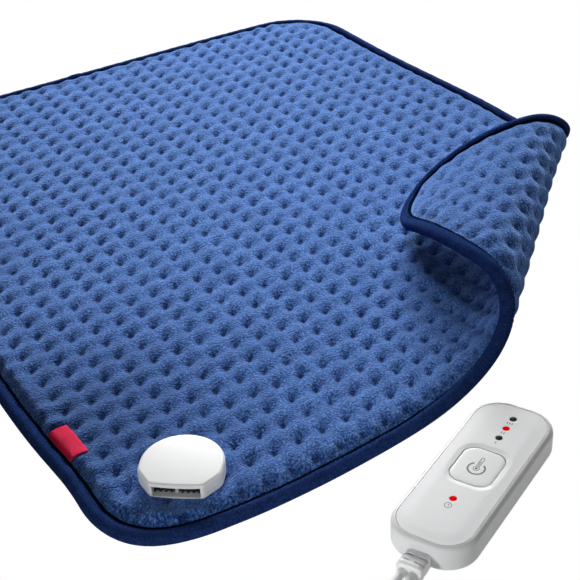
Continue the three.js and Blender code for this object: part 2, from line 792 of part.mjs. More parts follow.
function socketOutline(inset) {
  const radius = SOCKET_RADIUS - inset;
  const points = [];
  for (let step = 0; step <= 12; step += 1) {
    const angle = Math.PI * (0.5 + step / 12);
    points.push(new THREE.Vector2(radius * Math.cos(angle), radius * Math.sin(angle)));
  }
  const shoulder = SOCKET_STRAIGHT - inset * 0.4;
  points.push(new THREE.Vector2(shoulder, -radius));
  points.push(new THREE.Vector2(SOCKET_FRONT - inset, inset * 0.6 - SOCKET_NOSE));
  points.push(new THREE.Vector2(SOCKET_FRONT - inset, SOCKET_NOSE - inset * 0.6));
  points.push(new THREE.Vector2(shoulder, radius));
  return points;
}

const baseLow = CREST + GAP;
const floorTop = baseLow + SOCKET_FLOOR;
const rimTop = baseLow + SOCKET_RIM;
const socketTop = baseLow + SOCKET_HEIGHT;
const mouth = box(
  [SOCKET_FRONT - 2 * SOCKET_WALL, -MOUTH_WIDTH / 2, floorTop],
  [SOCKET_FRONT + 1, MOUTH_WIDTH / 2, floorTop + MOUTH_HEIGHT],
);

function socketBase() {
  const shell = column([
    [socketOutline(0.8), baseLow],
    [socketOutline(0), baseLow + 0.8],
    [socketOutline(0), rimTop],
  ]);
  const inside = socketOutline(SOCKET_WALL);
  const hollow = column([[inside, floorTop], [inside, rimTop + 1]]);
  const tray = cut(shell, [hollow, mouth]);
  const bossTop = baseLow + RIVET_LENGTH - (CREST - UPPER_LOW) + 1;
  const bosses = [-1, 1].map(
    (side) => post(RIVET_PLACE[0], side * RIVET_PLACE[1], RIVET_BOSS, baseLow + 0.5, bossTop, 10),
  );
  return cut(join(tray, bosses), underSocket(baseLow - 1, bossTop - 0.6));
}

function socketCover() {
  const shell = column([
    [socketOutline(0), rimTop + GAP],
    [socketOutline(0), socketTop - SOCKET_ROUND],
    [socketOutline(SOCKET_ROUND * 0.3), socketTop - SOCKET_ROUND * 0.3],
    [socketOutline(SOCKET_ROUND), socketTop],
  ]);
  const inside = socketOutline(SOCKET_WALL);
  const hollow = column([[inside, baseLow], [inside, socketTop - SOCKET_WALL]]);
  return cut(shell, [hollow, mouth]);
}

const insertFront = SOCKET_FRONT - SOCKET_WALL - RIB_REACH;
const insertLow = floorTop + GAP;
const contactMiddle = insertLow + INSERT_HEIGHT / 2;

function socketInsert() {
  const block = box(
    [insertFront - INSERT_DEPTH, -INSERT_WIDTH / 2, insertLow],
    [insertFront, INSERT_WIDTH / 2, insertLow + INSERT_HEIGHT],
  );
  const rib = box(
    [insertFront - 1, -RIB / 2, insertLow],
    [insertFront + RIB_REACH - 0.5, RIB / 2, insertLow + INSERT_HEIGHT],
  );
  const slotWidth = CONTACT_THICKNESS / 2 + GAP;
  const slotHeight = CONTACT_HEIGHT / 2 + GAP;
  const slots = CONTACT_PLACES.map((y) => box(
    [insertFront - INSERT_DEPTH - 1, y - slotWidth, contactMiddle - slotHeight],
    [insertFront + 1, y + slotWidth, contactMiddle + slotHeight],
  ));
  return cut(join(block, [rib]), slots);
}

const socket = new THREE.Group();
socket.position.set(socketX, socketY, 0);
socket.rotation.z = SOCKET_HEADING;
add(socket, 'connector_base', socketBase(), SHELL_WHITE);
add(socket, 'connector_cover', socketCover(), SHELL_WHITE);
add(socket, 'connector_insert', socketInsert(), INSERT_GREY);
CONTACT_PLACES.forEach((y, i) => add(socket, `connector_contact_${i + 1}`, box(
  [contactTail, y - CONTACT_THICKNESS / 2, contactMiddle - CONTACT_HEIGHT / 2],
  [contactTail + CONTACT_LENGTH, y + CONTACT_THICKNESS / 2, contactMiddle + CONTACT_HEIGHT / 2],
), BRASS));
const plateTop = UPPER_LOW - GAP;
const plateLow = plateTop - PLATE_THICKNESS;
const leadLow = FELT_TOP + GAP;
add(socket, 'connector_lead_left', leadBox(1, 0, leadLow, contactMiddle + 1), WIRE_GREY);
add(socket, 'connector_lead_right', leadBox(-1, 0, leadLow, contactMiddle + 1), WIRE_GREY);
const plate = post(0, 0, PLATE_RADIUS, plateLow, plateTop, 24);
add(socket, 'connector_backing_plate', cut(plate, underSocket(plateLow - 1, plateTop + 1)), METAL);
[1, -1].forEach((side) => {
  const [x, y] = [RIVET_PLACE[0], side * RIVET_PLACE[1]];
  const head = post(x, y, RIVET_HEAD, leadLow, plateLow - GAP, 10);
  const shaft = post(x, y, RIVET_SHAFT, leadLow + 0.1, plateLow + RIVET_LENGTH, 8);
  add(socket, side > 0 ? 'connector_rivet_left' : 'connector_rivet_right', join(head, [shaft]), METAL);
});

// Hand control, in a frame whose +X is the end with the lights

function handsetOutline(inset) {
  return roundedOutline(HANDSET_LENGTH, HANDSET_WIDTH, HANDSET_CORNER, inset, HANDSET_CORNER_STEPS);
}

function topRoundHeight(inset) {
  const fall = 1 - Math.min(inset, TOP_ROUND) / TOP_ROUND;
  return HANDSET_HEIGHT - CROWN - TOP_ROUND + TOP_ROUND * Math.sqrt(1 - fall * fall);
}

const faceUnder = HANDSET_HEIGHT - CROWN - FACE_THICKNESS;
const faceLow = HANDSET_HEIGHT - CROWN - FACE_SKIRT;
const screwAlong = HANDSET_LENGTH / 2 - SCREW_FROM_END;
const screwPlaces = [
  [screwAlong, SCREW_ACROSS],
  [screwAlong, -SCREW_ACROSS],
  [-screwAlong, -SCREW_ACROSS],
  [-screwAlong, SCREW_ACROSS],
];
const ledEnd = HANDSET_LENGTH / 2 - LED_FROM_END;
const ledPlaces = {
  led_high: ledEnd,
  led_medium: ledEnd - LED_PITCH,
  led_low: ledEnd - 2 * LED_PITCH,
  led_timer: BUTTON_PLACE - TIMER_FROM_BUTTON,
};
const headTop = SCREW_SINK + SCREW_HEAD_HEIGHT;
const endWall = -HANDSET_LENGTH / 2;
const boardLength = HANDSET_LENGTH - 2 * BOARD_CLEAR;
const boardEnd = BOARD_PLACE - boardLength / 2;
const boardTop = BOARD_HEIGHT + BOARD_THICKNESS;

// A block whose rounded section faces along X, from one place to another.
function endBlock(from, to, width, height, round) {
  const section = roundedOutline(width, height, round, 0, 3);
  const block = column([[section, 0], [section, to - from]]);
  return block.rotateX(Math.PI / 2).rotateZ(Math.PI / 2).translate(from, 0, 0);
}

function handsetTub() {
  const rounds = [0, 30, 60, 90].map((degrees) => {
    const angle = THREE.MathUtils.degToRad(degrees);
    return [handsetOutline(BOTTOM_ROUND * (1 - Math.sin(angle))), BOTTOM_ROUND * (1 - Math.cos(angle))];
  });
  const rims = [0, 0.15, 0.5, 1].map((share) => {
    const inset = SEAM_INSET * share;
    return [handsetOutline(inset), topRoundHeight(inset)];
  });
  const hollow = column([
    [handsetOutline(SEAM_INSET + TUB_FILLET), TUB_FLOOR],
    [handsetOutline(SEAM_INSET), TUB_FLOOR + TUB_FILLET],
    [handsetOutline(SEAM_INSET), HANDSET_HEIGHT + 1],
  ]);
  const shell = cut(column([...rounds, ...rims]), [hollow]);
  const posts = screwPlaces.map(([x, y]) => post(x, y, POST_RADIUS, TUB_FLOOR - 0.5, POST_HEIGHT));
  const ribs = BOARD_RIB_PLACES.map((x) => box(
    [x - BOARD_RIB / 2, BOARD_CORNER / 2 - HANDSET_WIDTH / 2, TUB_FLOOR - 0.5],
    [x + BOARD_RIB / 2, HANDSET_WIDTH / 2 - BOARD_CORNER / 2, BOARD_HEIGHT - GAP],
  ));
  const wells = screwPlaces.flatMap(([x, y]) => [
    post(x, y, SCREW_HEAD + GAP, -1, headTop + GAP),
    post(x, y, SCREW_SHAFT + GAP, 0, POST_HEIGHT + 1),
  ]);
  const exitEnd = endWall + SEAM_INSET + 1;
  const exit = endBlock(endWall - 1, exitEnd, NECK_WIDTH + 2 * GAP, NECK_HEIGHT + 2 * GAP, 1.6);
  return cut(join(shell, [...posts, ...ribs]), [...wells, exit.translate(0, 0, RELIEF_MIDDLE)]);
}

function buttonOutline(spread) {
  const grow = 2 * spread;
  return roundedOutline(BUTTON_LENGTH + grow, BUTTON_WIDTH + grow, BUTTON_CORNER + spread, 0, 5)
    .map((p) => p.setX(p.x + BUTTON_PLACE));
}

function handsetFace() {
  const edge = SEAM_INSET + GAP;
  const faceTop = HANDSET_HEIGHT - CROWN;
  const lid = column([
    [handsetOutline(edge), faceLow],
    [handsetOutline(edge), topRoundHeight(edge)],
    [handsetOutline(edge + 0.8), topRoundHeight(edge + 0.8)],
    [handsetOutline(TOP_ROUND), faceTop],
    [handsetOutline(CROWN_INSET), HANDSET_HEIGHT],
  ]);
  const inside = handsetOutline(edge + FACE_WALL);
  const hollow = column([[inside, 0], [inside, faceUnder]]);
  const dish = column([
    [buttonOutline(SLIDE), HANDSET_HEIGHT - DISH_DEPTH],
    [buttonOutline(SLIDE + DISH_WIDTH), HANDSET_HEIGHT + 0.1],
  ]);
  const opening = column([[buttonOutline(SLIDE), 0], [buttonOutline(SLIDE), HANDSET_HEIGHT + 1]]);
  const lightHole = LED_RADIUS + GAP;
  const lightHoles = Object.values(ledPlaces).map((x) => post(x, 0, lightHole, 0, HANDSET_HEIGHT + 1));
  const bosses = screwPlaces.map(([x, y]) => post(x, y, BOSS_RADIUS, POST_HEIGHT + GAP, faceUnder + 0.5));
  const boreTop = headTop + SCREW_LENGTH + 1;
  const bores = screwPlaces.map(([x, y]) => post(x, y, SCREW_SHAFT + GAP, 0, boreTop, 8));
  return cut(join(cut(lid, [hollow]), bosses), [dish, opening, ...lightHoles, ...bores]);
}

const lipTop = faceUnder - GAP;
const lipLow = lipTop - BUTTON_LIP_THICKNESS;
const plungerTop = lipLow - GAP;

function buttonCap() {
  const top = HANDSET_HEIGHT - BUTTON_DROP;
  const rim = buttonOutline(SLIDE + BUTTON_LIP);
  const lip = column([[rim, lipLow], [rim, lipTop]]);
  const cap = column([
    [buttonOutline(0), lipLow + 0.2],
    [buttonOutline(0), top - 0.5],
    [buttonOutline(-0.8), top - 0.1],
    [buttonOutline(-6), top],
  ]);
  return join(lip, [cap]);
}

function circuitBoard() {
  const outline = roundedOutline(boardLength, BOARD_WIDTH, BOARD_CORNER, 0, 4);
  outline.forEach((p) => p.setX(p.x + BOARD_PLACE));
  const slab = column([[outline, BOARD_HEIGHT], [outline, boardTop]]);
  return cut(slab, screwPlaces.map(([x, y]) => post(x, y, BOSS_RADIUS + GAP, 0, HANDSET_HEIGHT)));
}

function onBoard(x, y, length, width, height) {
  const low = boardTop + GAP;
  return box([x - length / 2, y - width / 2, low], [x + length / 2, y + width / 2, low + height]);
}

function strainRelief() {
  const wall = SEAM_INSET;
  const root = endWall - GAP;
  const outer = endBlock(root - RELIEF_LENGTH, root, RELIEF_WIDTH, RELIEF_HEIGHT, RELIEF_ROUND);
  const neck = endBlock(endWall - 1, endWall + wall + GAP + 1, NECK_WIDTH, NECK_HEIGHT, 1.3);
  const inside = endWall + wall + GAP;
  const flange = endBlock(inside, inside + FLANGE_THICKNESS, FLANGE_WIDTH, FLANGE_HEIGHT, 1.5);
  const slots = RELIEF_SLOT_PLACES.flatMap((from) => [-1, 1].flatMap((side) => [-1, 1].map((face) => {
    const y = side * (RELIEF_WEB / 2 + RELIEF_WIDTH / 2);
    const z = face * RELIEF_HEIGHT / 2;
    const slot = new THREE.BoxGeometry(RELIEF_SLOT, RELIEF_WIDTH, 2 * RELIEF_SLOT_DEPTH);
    return slot.translate(root - from, y, z);
  })));
  return cut(join(outer, [neck, flange]), slots).translate(0, 0, RELIEF_MIDDLE);
}

function innerLeads(side) {
  const start = endWall + SEAM_INSET + 2 * GAP + FLANGE_THICKNESS;
  const y = side * CORD_SPACING / 2;
  const level = boardTop + GAP + LEAD_RADIUS;
  const points = [
    [start, y, RELIEF_MIDDLE],
    [start + 2, y, RELIEF_MIDDLE],
    [boardEnd - 1.8, y * 1.6, level],
    [boardEnd + 1, y * 1.6, level],
    [boardEnd + 9, y * 1.6, level],
  ].map((place) => new THREE.Vector3(...place));
  return tube(points, LEAD_RADIUS, 6);
}

const handset = new THREE.Group();
const handsetReach = (HANDSET_LENGTH / 2 - HANDSET_CORNER) * Math.abs(Math.sin(HANDSET_HEADING))
  + (HANDSET_WIDTH / 2 - HANDSET_CORNER) * Math.abs(Math.cos(HANDSET_HEADING)) + HANDSET_CORNER;
handset.position.set(HANDSET_SIDEWAYS, -PAD_LENGTH / 2 - HANDSET_CLEAR - handsetReach, 0);
handset.rotation.z = HANDSET_HEADING;
add(handset, 'handset_tub', handsetTub(), SHELL_WHITE);
add(handset, 'handset_face', handsetFace(), SHELL_WHITE);
add(handset, 'button_cap', buttonCap(), SHELL_WHITE);
Object.entries(ledPlaces).forEach(([name, x]) => {
  const profile = [
    [0, boardTop + GAP],
    [LED_RADIUS, boardTop + GAP],
    [LED_RADIUS, HANDSET_HEIGHT - 0.5],
    [LED_RADIUS * 0.75, HANDSET_HEIGHT - 0.1],
    [0, HANDSET_HEIGHT],
  ];
  const body = new THREE.LatheGeometry(profile.map(([radius, z]) => new THREE.Vector2(radius, z)), 14);
  const lit = name === 'led_medium' || name === 'led_timer';
  const led = fromManifold(toManifold(body.rotateX(Math.PI / 2).translate(x, 0, 0)));
  add(handset, name, led, lit ? LENS_RED : LENS_DARK);
});
add(handset, 'circuit_board', circuitBoard(), BOARD_GREEN);
const switchLow = boardTop + GAP;
const plungerLow = plungerTop - PLUNGER_SOCKET;
const switchTop = plungerTop - BUTTON_TRAVEL - GAP;
const wellLow = plungerLow - BUTTON_TRAVEL - GAP;
const plungerWell = post(BUTTON_PLACE, 0, PLUNGER_RADIUS + SLIDE, wellLow, HANDSET_HEIGHT);
add(handset, 'switch_body', cut(box(
  [BUTTON_PLACE - SWITCH_SIZE / 2, -SWITCH_SIZE / 2, switchLow],
  [BUTTON_PLACE + SWITCH_SIZE / 2, SWITCH_SIZE / 2, switchTop],
), [plungerWell]), PART_BLACK);
add(handset, 'switch_plunger', post(BUTTON_PLACE, 0, PLUNGER_RADIUS, plungerLow, plungerTop), PART_BLACK);
add(handset, 'control_chip', onBoard(screwAlong - CHIP_FROM_SCREW, 12, 10, 6, 1.8), PART_BLACK);
add(handset, 'triac', onBoard(-21, 13, 10, 8, 3), PART_BLACK);
add(handset, 'capacitor', onBoard(boardEnd + CAPACITOR_FROM_END, -1, 12, 5, 4.4), PART_YELLOW);
const fuse = new THREE.CylinderGeometry(1.8, 1.8, 12, 10).rotateZ(Math.PI / 2);
add(handset, 'fuse', fuse.translate(-22, -13, boardTop + GAP + 1.8), FELT_WHITE);
screwPlaces.forEach(([x, y], i) => {
  const head = post(x, y, SCREW_HEAD, SCREW_SINK, headTop);
  const shaft = post(x, y, SCREW_SHAFT, headTop - 0.5, headTop + SCREW_LENGTH, 8);
  add(handset, `handset_screw_${i + 1}`, join(head, [shaft]), METAL);
});
add(handset, 'strain_relief', strainRelief(), CORD_WHITE);
add(handset, 'mains_leads', innerLeads(-1), CORD_WHITE);
add(handset, 'pad_leads', innerLeads(1), CORD_WHITE);

// Cords, in a frame at the strain relief's outer face whose +X is the way they leave

const coilBase = TIE + GAP + CORD / 2;

function route(points, steps) {
  const places = points.map((place) => new THREE.Vector3(...place));
  return new THREE.CatmullRomCurve3(places, false, 'centripetal').getSpacedPoints(steps);
}

// Loops that spiral in and out at a steady rate, and climb where the spiral turns back.
function coilRoute(coil) {
  const perLayer = coil.turns / coil.layers;
  const steps = Math.round(coil.turns * COIL_STEPS);
  const points = [];
  for (let step = 0; step <= steps; step += 1) {
    const turned = coil.turns * step / steps;
    const phase = turned / perLayer;
    const layerIndex = Math.min(Math.floor(phase), coil.layers - 1);
    const share = layerIndex % 2 === 0 ? layerIndex + 1 - phase : phase - layerIndex;
    const radius = coil.inner + COIL_SPREAD * perLayer * share;
    let climbed = 0;
    for (let k = 1; k < coil.layers; k += 1) {
      climbed += THREE.MathUtils.clamp((turned - k * perLayer + 0.25) / 0.5, 0, 1);
    }
    const angle = coil.start + coil.spin * turned * 2 * Math.PI;
    points.push(new THREE.Vector3(
      coil.x + radius * Math.cos(angle),
      coil.y + radius * Math.sin(angle),
      coilBase + COIL_RISE * climbed,
    ));
  }
  const finish = coil.start + coil.spin * coil.turns * 2 * Math.PI;
  const onwards = (angle) => new THREE.Vector3(-Math.sin(angle), Math.cos(angle), 0);
  points.unshift(points[0].clone().addScaledVector(onwards(coil.start), -coil.spin * CORD));
  points.push(points[points.length - 1].clone().addScaledVector(onwards(finish), coil.spin * CORD));
  return points;
}

// Least clear space between one part of a coil and the next.
function selfGap(points) {
  let least = Infinity;
  const nearest = new THREE.Vector3();
  points.forEach((point, i) => {
    for (let k = i + COIL_STEPS / 2; k < points.length - 1; k += 1) {
      new THREE.Line3(points[k], points[k + 1]).closestPointToPoint(point, true, nearest);
      least = Math.min(least, nearest.distanceTo(point));
    }
  });
  return least - CORD;
}

// A band round the coil's bundle at one angle.
function coilTie(coil, angle) {
  const inner = coil.inner - CORD / 2 - 2 * GAP;
  const outer = coil.inner + COIL_SPREAD * coil.turns / coil.layers + CORD / 2 + 2 * GAP;
  const top = TIE + 2 * GAP + CORD + COIL_RISE * (coil.layers - 1);
  const width = outer - inner;
  const height = top - TIE;
  const ring = cut(
    endBlock(-TIE_WIDTH / 2, TIE_WIDTH / 2, width + 2 * TIE, height + 2 * TIE, 2),
    [endBlock(-TIE_WIDTH, TIE_WIDTH, width, height, 1)],
  );
  ring.rotateZ(Math.PI / 2).translate((inner + outer) / 2, 0, TIE + height / 2);
  return ring.rotateZ(angle).translate(coil.x, coil.y, 0);
}

const mainsOuter = MAINS_COIL_INNER + COIL_SPREAD * MAINS_COIL_TURNS / MAINS_COIL_LAYERS;
const padOuter = PAD_COIL_INNER + COIL_SPREAD * PAD_COIL_TURNS / PAD_COIL_LAYERS;
const mainsCoil = {
  x: MAINS_COIL_AT,
  y: CORD_SPACING / 2 + mainsOuter,
  inner: MAINS_COIL_INNER,
  turns: MAINS_COIL_TURNS,
  layers: MAINS_COIL_LAYERS,
  start: -Math.PI / 2,
  spin: 1,
};
const padCoil = {
  x: PAD_COIL_AT,
  y: -CORD_SPACING / 2 - padOuter,
  inner: PAD_COIL_INNER,
  turns: PAD_COIL_TURNS,
  layers: PAD_COIL_LAYERS,
  start: Math.PI / 2,
  spin: -1,
};
const mainsLoops = coilRoute(mainsCoil);
const padLoops = coilRoute(padCoil);
console.log(`least gap in the mains coil ${selfGap(mainsLoops).toFixed(2)} mm`);
console.log(`least gap in the pad coil ${selfGap(padLoops).toFixed(2)} mm`);

const cords = new THREE.Group();
cords.position.set(endWall - RELIEF_LENGTH - 2 * GAP, 0, 0);
cords.rotation.z = Math.PI;
const lane = CORD_SPACING / 2;
const meet = (point, dx) => [point.x + dx, point.y, point.z];
add(cords, 'mains_cord', tube(route([
  [0, lane, RELIEF_MIDDLE],
  [6, lane, RELIEF_MIDDLE - 0.3],
  [16, lane + 0.2, 4],
  [27, lane + 0.4, 2.9],
  [38, lane + 0.2, 2.8],
  [47, lane, 3.6],
  meet(mainsLoops[0], -GAP),
], 12), CORD / 2, CORD_SIDES), CORD_WHITE);
add(cords, 'mains_cord_coil', tube(mainsLoops, CORD / 2, COIL_SIDES), CORD_WHITE);
add(cords, 'mains_coil_tie', coilTie(mainsCoil, MAINS_TIE_ANGLE), TIE_BLACK);
add(cords, 'pad_cord', tube(route([
  [0, -lane, RELIEF_MIDDLE],
  [6, -lane, RELIEF_MIDDLE - 0.3],
  [18, -lane - 0.2, 3.9],
  [32, -lane - 0.4, 2.8],
  [50, -lane - 0.3, 2.6],
  [66, -lane, 2.8],
  [78, -lane, 3.6],
  meet(padLoops[0], -GAP),
], 16), CORD / 2, CORD_SIDES), CORD_WHITE);
add(cords, 'pad_cord_coil', tube(padLoops, CORD / 2, COIL_SIDES), CORD_WHITE);
add(cords, 'pad_coil_tie', coilTie(padCoil, PAD_TIE_ANGLE), TIE_BLACK);

// Mains plug, in a frame whose +X is the way its blades point

const mainsEnd = mainsLoops[mainsLoops.length - 1];
const plugMiddle = PLUG_HEIGHT / 2;
add(cords, 'mains_cord_tail', tube(route([
  [mainsEnd.x, mainsEnd.y + GAP, mainsEnd.z],
  [mainsEnd.x, mainsEnd.y + 10, mainsEnd.z - 0.8],
  [mainsEnd.x + 0.3, mainsEnd.y + 22, mainsEnd.z - 4],
  [mainsEnd.x + 0.3, mainsEnd.y + 36, plugMiddle + 4],
  [mainsEnd.x, mainsEnd.y + 48, plugMiddle + 0.8],
  [mainsEnd.x, mainsEnd.y + MAINS_TAIL, plugMiddle],
], 12), CORD / 2, CORD_SIDES), CORD_WHITE);
const plug = new THREE.Group();
plug.position.set(mainsEnd.x, mainsEnd.y + MAINS_TAIL + GAP, plugMiddle);
plug.rotation.z = Math.PI / 2;
cords.add(plug);

function ribbedSleeve(length, from, to, ribs) {
  const profile = [[0, 0]];
  for (let rib = 0; rib < ribs; rib += 1) {
    const start = length * rib / ribs;
    const end = length * (rib + 0.65) / ribs;
    const radius = THREE.MathUtils.lerp(from, to, rib / (ribs - 1));
    profile.push([radius, start], [radius, end]);
    if (rib < ribs - 1) profile.push([radius - 0.8, end], [radius - 0.8, length * (rib + 1) / ribs]);
  }
  profile.push([to, length], [0, length]);
  const lathe = new THREE.LatheGeometry(profile.map(([radius, z]) => new THREE.Vector2(radius, z)), 10);
  return fromManifold(toManifold(lathe.rotateZ(-Math.PI / 2)));
}

const plugStart = PLUG_RELIEF_LENGTH + GAP;
const plugFront = plugStart + PLUG_LENGTH;
function blade(side, width, spare) {
  const y = side * BLADE_SPACING / 2;
  const half = BLADE_THICKNESS / 2 + spare;
  return box(
    [plugFront - BLADE_ROOT - spare, y - half, -width / 2 - spare],
    [plugFront + BLADE_LENGTH, y + half, width / 2 + spare],
  );
}

const plugBody = column([
  [roundedOutline(PLUG_WIDTH - 9, PLUG_HEIGHT - 3, PLUG_ROUND, 0, 4), 0],
  [roundedOutline(PLUG_WIDTH, PLUG_HEIGHT, PLUG_ROUND, 0, 4), 10],
  [roundedOutline(PLUG_WIDTH, PLUG_HEIGHT, PLUG_ROUND, 0, 4), PLUG_LENGTH - 1],
  [roundedOutline(PLUG_WIDTH, PLUG_HEIGHT, PLUG_ROUND, 1, 4), PLUG_LENGTH],
]).rotateX(Math.PI / 2).rotateZ(Math.PI / 2).translate(plugStart, 0, 0);
add(plug, 'mains_plug_relief', ribbedSleeve(PLUG_RELIEF_LENGTH, 3.8, 5.6, 4), CORD_WHITE);
const plugSlots = [blade(1, BLADE_NARROW, GAP), blade(-1, BLADE_WIDE, GAP)];
add(plug, 'mains_plug_body', cut(plugBody, plugSlots), CORD_WHITE);
add(plug, 'mains_blade_narrow', blade(1, BLADE_NARROW, 0), BRASS);
add(plug, 'mains_blade_wide', blade(-1, BLADE_WIDE, 0), BRASS);

// Pad plug, in a frame whose +X is the way it goes into the socket

const padEnd = padLoops[padLoops.length - 1];
const gripMiddle = GRIP_HEIGHT / 2;
add(cords, 'pad_cord_tail', tube(route([
  [padEnd.x, padEnd.y - GAP, padEnd.z],
  [padEnd.x, padEnd.y - 9, padEnd.z - 0.4],
  [padEnd.x - 0.2, padEnd.y - 18, padEnd.z - 1.4],
  [padEnd.x - 0.2, padEnd.y - 28, gripMiddle + 1.2],
  [padEnd.x, padEnd.y - 37, gripMiddle + 0.2],
  [padEnd.x, padEnd.y - PAD_TAIL, gripMiddle],
], 10), CORD / 2, CORD_SIDES), CORD_WHITE);
const padPlug = new THREE.Group();
padPlug.position.set(padEnd.x, padEnd.y - PAD_TAIL - GAP, gripMiddle);
padPlug.rotation.z = -Math.PI / 2;
cords.add(padPlug);

const gripStart = PAD_RELIEF_LENGTH + GAP;
const gripFront = gripStart + GRIP_LENGTH;
const noseFront = gripFront + NOSE_LENGTH;
const latchPivot = gripStart + 4;
const latchInner = NOSE_WIDTH / 2 + LATCH_SWING;
const latchOuter = latchInner + LATCH_THICKNESS;

function padPlugBody() {
  const grip = column([
    [roundedOutline(GRIP_WIDTH - 6, GRIP_HEIGHT - 2, GRIP_ROUND, 0, 3), 0],
    [roundedOutline(GRIP_WIDTH, GRIP_HEIGHT, GRIP_ROUND, 0, 3), 3],
    [roundedOutline(GRIP_WIDTH, GRIP_HEIGHT, GRIP_ROUND, 0, 3), GRIP_LENGTH],
  ]).rotateX(Math.PI / 2).rotateZ(Math.PI / 2).translate(gripStart, 0, 0);
  const nose = box(
    [gripFront - 1, -NOSE_WIDTH / 2, -NOSE_HEIGHT / 2],
    [noseFront, NOSE_WIDTH / 2, NOSE_HEIGHT / 2],
  );
  const ribSlot = box(
    [gripFront + 1, -RIB / 2 - SLIDE, -NOSE_HEIGHT],
    [noseFront + 1, RIB / 2 + SLIDE, NOSE_HEIGHT],
  );
  const contactSlots = CONTACT_PLACES.map((y) => box(
    [gripFront, y - CONTACT_THICKNESS / 2 - SLIDE, -CONTACT_HEIGHT / 2 - SLIDE],
    [noseFront + 1, y + CONTACT_THICKNESS / 2 + SLIDE, CONTACT_HEIGHT / 2 + SLIDE],
  ));
  const channels = [-1, 1].map((side) => new THREE.BoxGeometry(
    gripFront - latchPivot + 4,
    GRIP_WIDTH,
    LATCH_HEIGHT + 2 * SLIDE,
  ).translate((gripFront + latchPivot) / 2 - 0.5, side * (NOSE_WIDTH + GRIP_WIDTH) / 2, 0));
  return cut(join(grip, [nose]), [ribSlot, ...contactSlots, ...channels]);
}

function padPlugLatch(side) {
  const half = LATCH_HEIGHT / 2;
  const padFrom = latchPivot + 4;
  const strip = box([latchPivot, latchInner, -half], [noseFront - 1, latchOuter, half]);
  const press = box(
    [padFrom, latchOuter - 0.5, -half],
    [padFrom + LATCH_PAD, GRIP_WIDTH / 2 + LATCH_PAD_PROUD, half],
  );
  const barb = box(
    [noseFront - 4, latchOuter - 0.5, -half],
    [noseFront - 1, MOUTH_WIDTH / 2 + LATCH_BARB, half],
  );
  const knuckle = post(latchPivot, latchInner + GAP, LATCH_SWING, -half, half);
  const latch = join(strip, [press, barb, knuckle]);
  return side > 0 ? latch : latch.rotateX(Math.PI);
}

add(padPlug, 'pad_plug_relief', ribbedSleeve(PAD_RELIEF_LENGTH, 3.6, 4.6, 3), CORD_WHITE);
add(padPlug, 'pad_plug_body', padPlugBody(), SHELL_WHITE);
add(padPlug, 'pad_plug_latch_left', padPlugLatch(1), SHELL_WHITE);
add(padPlug, 'pad_plug_latch_right', padPlugLatch(-1), SHELL_WHITE);

// The whole object, with its origin under the middle of the pad and the hand control

handset.add(cords);
const whole = new THREE.Group();
whole.add(pad, socket, handset);
whole.updateMatrixWorld(true);
const bounds = new THREE.Box3();
whole.traverse((item) => {
  let onCord = false;
  item.traverseAncestors((parent) => {
    if (parent === cords) onCord = true;
  });
  if (item.isMesh && !onCord) bounds.expandByObject(item, true);
});
whole.position.set(-(bounds.min.x + bounds.max.x) / 2, -(bounds.min.y + bounds.max.y) / 2, -bounds.min.z);
const object = new THREE.Group();
object.name = 'heating_pad';
object.add(whole);

export default object;
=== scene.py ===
# %% [markdown]
# # A heating pad with a hand control
#
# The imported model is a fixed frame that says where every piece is. This lesson dresses it.
# It makes the camera and the cords first, then the quilted plush pad with its edge tape, the
# socket on the pad and the hand control, and ends with the floor and the light.

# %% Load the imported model
import math

import bmesh
import bpy
import numpy as np
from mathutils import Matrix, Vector


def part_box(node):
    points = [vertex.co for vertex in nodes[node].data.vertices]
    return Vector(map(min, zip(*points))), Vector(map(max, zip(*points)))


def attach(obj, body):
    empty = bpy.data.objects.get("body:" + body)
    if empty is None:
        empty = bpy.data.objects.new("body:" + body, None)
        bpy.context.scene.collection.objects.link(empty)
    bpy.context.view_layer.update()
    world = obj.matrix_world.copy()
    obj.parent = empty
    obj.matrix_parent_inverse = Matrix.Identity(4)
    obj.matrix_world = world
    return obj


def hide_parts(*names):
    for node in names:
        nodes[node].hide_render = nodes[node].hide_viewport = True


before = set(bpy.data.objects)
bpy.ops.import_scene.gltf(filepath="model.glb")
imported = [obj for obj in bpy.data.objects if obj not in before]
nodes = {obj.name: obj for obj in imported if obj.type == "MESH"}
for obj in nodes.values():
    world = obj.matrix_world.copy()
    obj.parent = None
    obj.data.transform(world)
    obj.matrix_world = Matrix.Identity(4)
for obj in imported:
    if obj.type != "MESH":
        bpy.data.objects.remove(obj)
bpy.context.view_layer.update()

MM = 0.001
ROOT = "pad_and_handset"

# %% [markdown]
# ## Camera
#
# The photo looks down on the pad from its front left. A camera could be set by eye, but then
# no piece could be laid over the photo and compared. So the lens and the place were fitted to
# the pad's edges and to its grid of tufts, and stand here as numbers.

# %% Camera
LENS = 85.24
CAMERA_AT = (-0.43735, -0.77264, 0.52679)
CAMERA_TURN = (56.937, 2.770, -31.584)  # degrees about X, Y and Z

camera = bpy.data.objects.new("camera", bpy.data.cameras.new("camera"))
camera.data.lens = LENS
camera.location = CAMERA_AT
camera.rotation_euler = [math.radians(angle) for angle in CAMERA_TURN]
bpy.context.scene.collection.objects.link(camera)
bpy.context.scene.camera = camera
print("camera at", CAMERA_AT)

# %% [markdown]
# ## Shader arithmetic
#
# Cloth and plastic change from place to place, and shader nodes make that change. Nodes could
# be added and linked one by one, but then the sum they make can't be read. So a `Field` wraps
# one socket, and patterns are written as sums. Its `node` method reaches every other node.

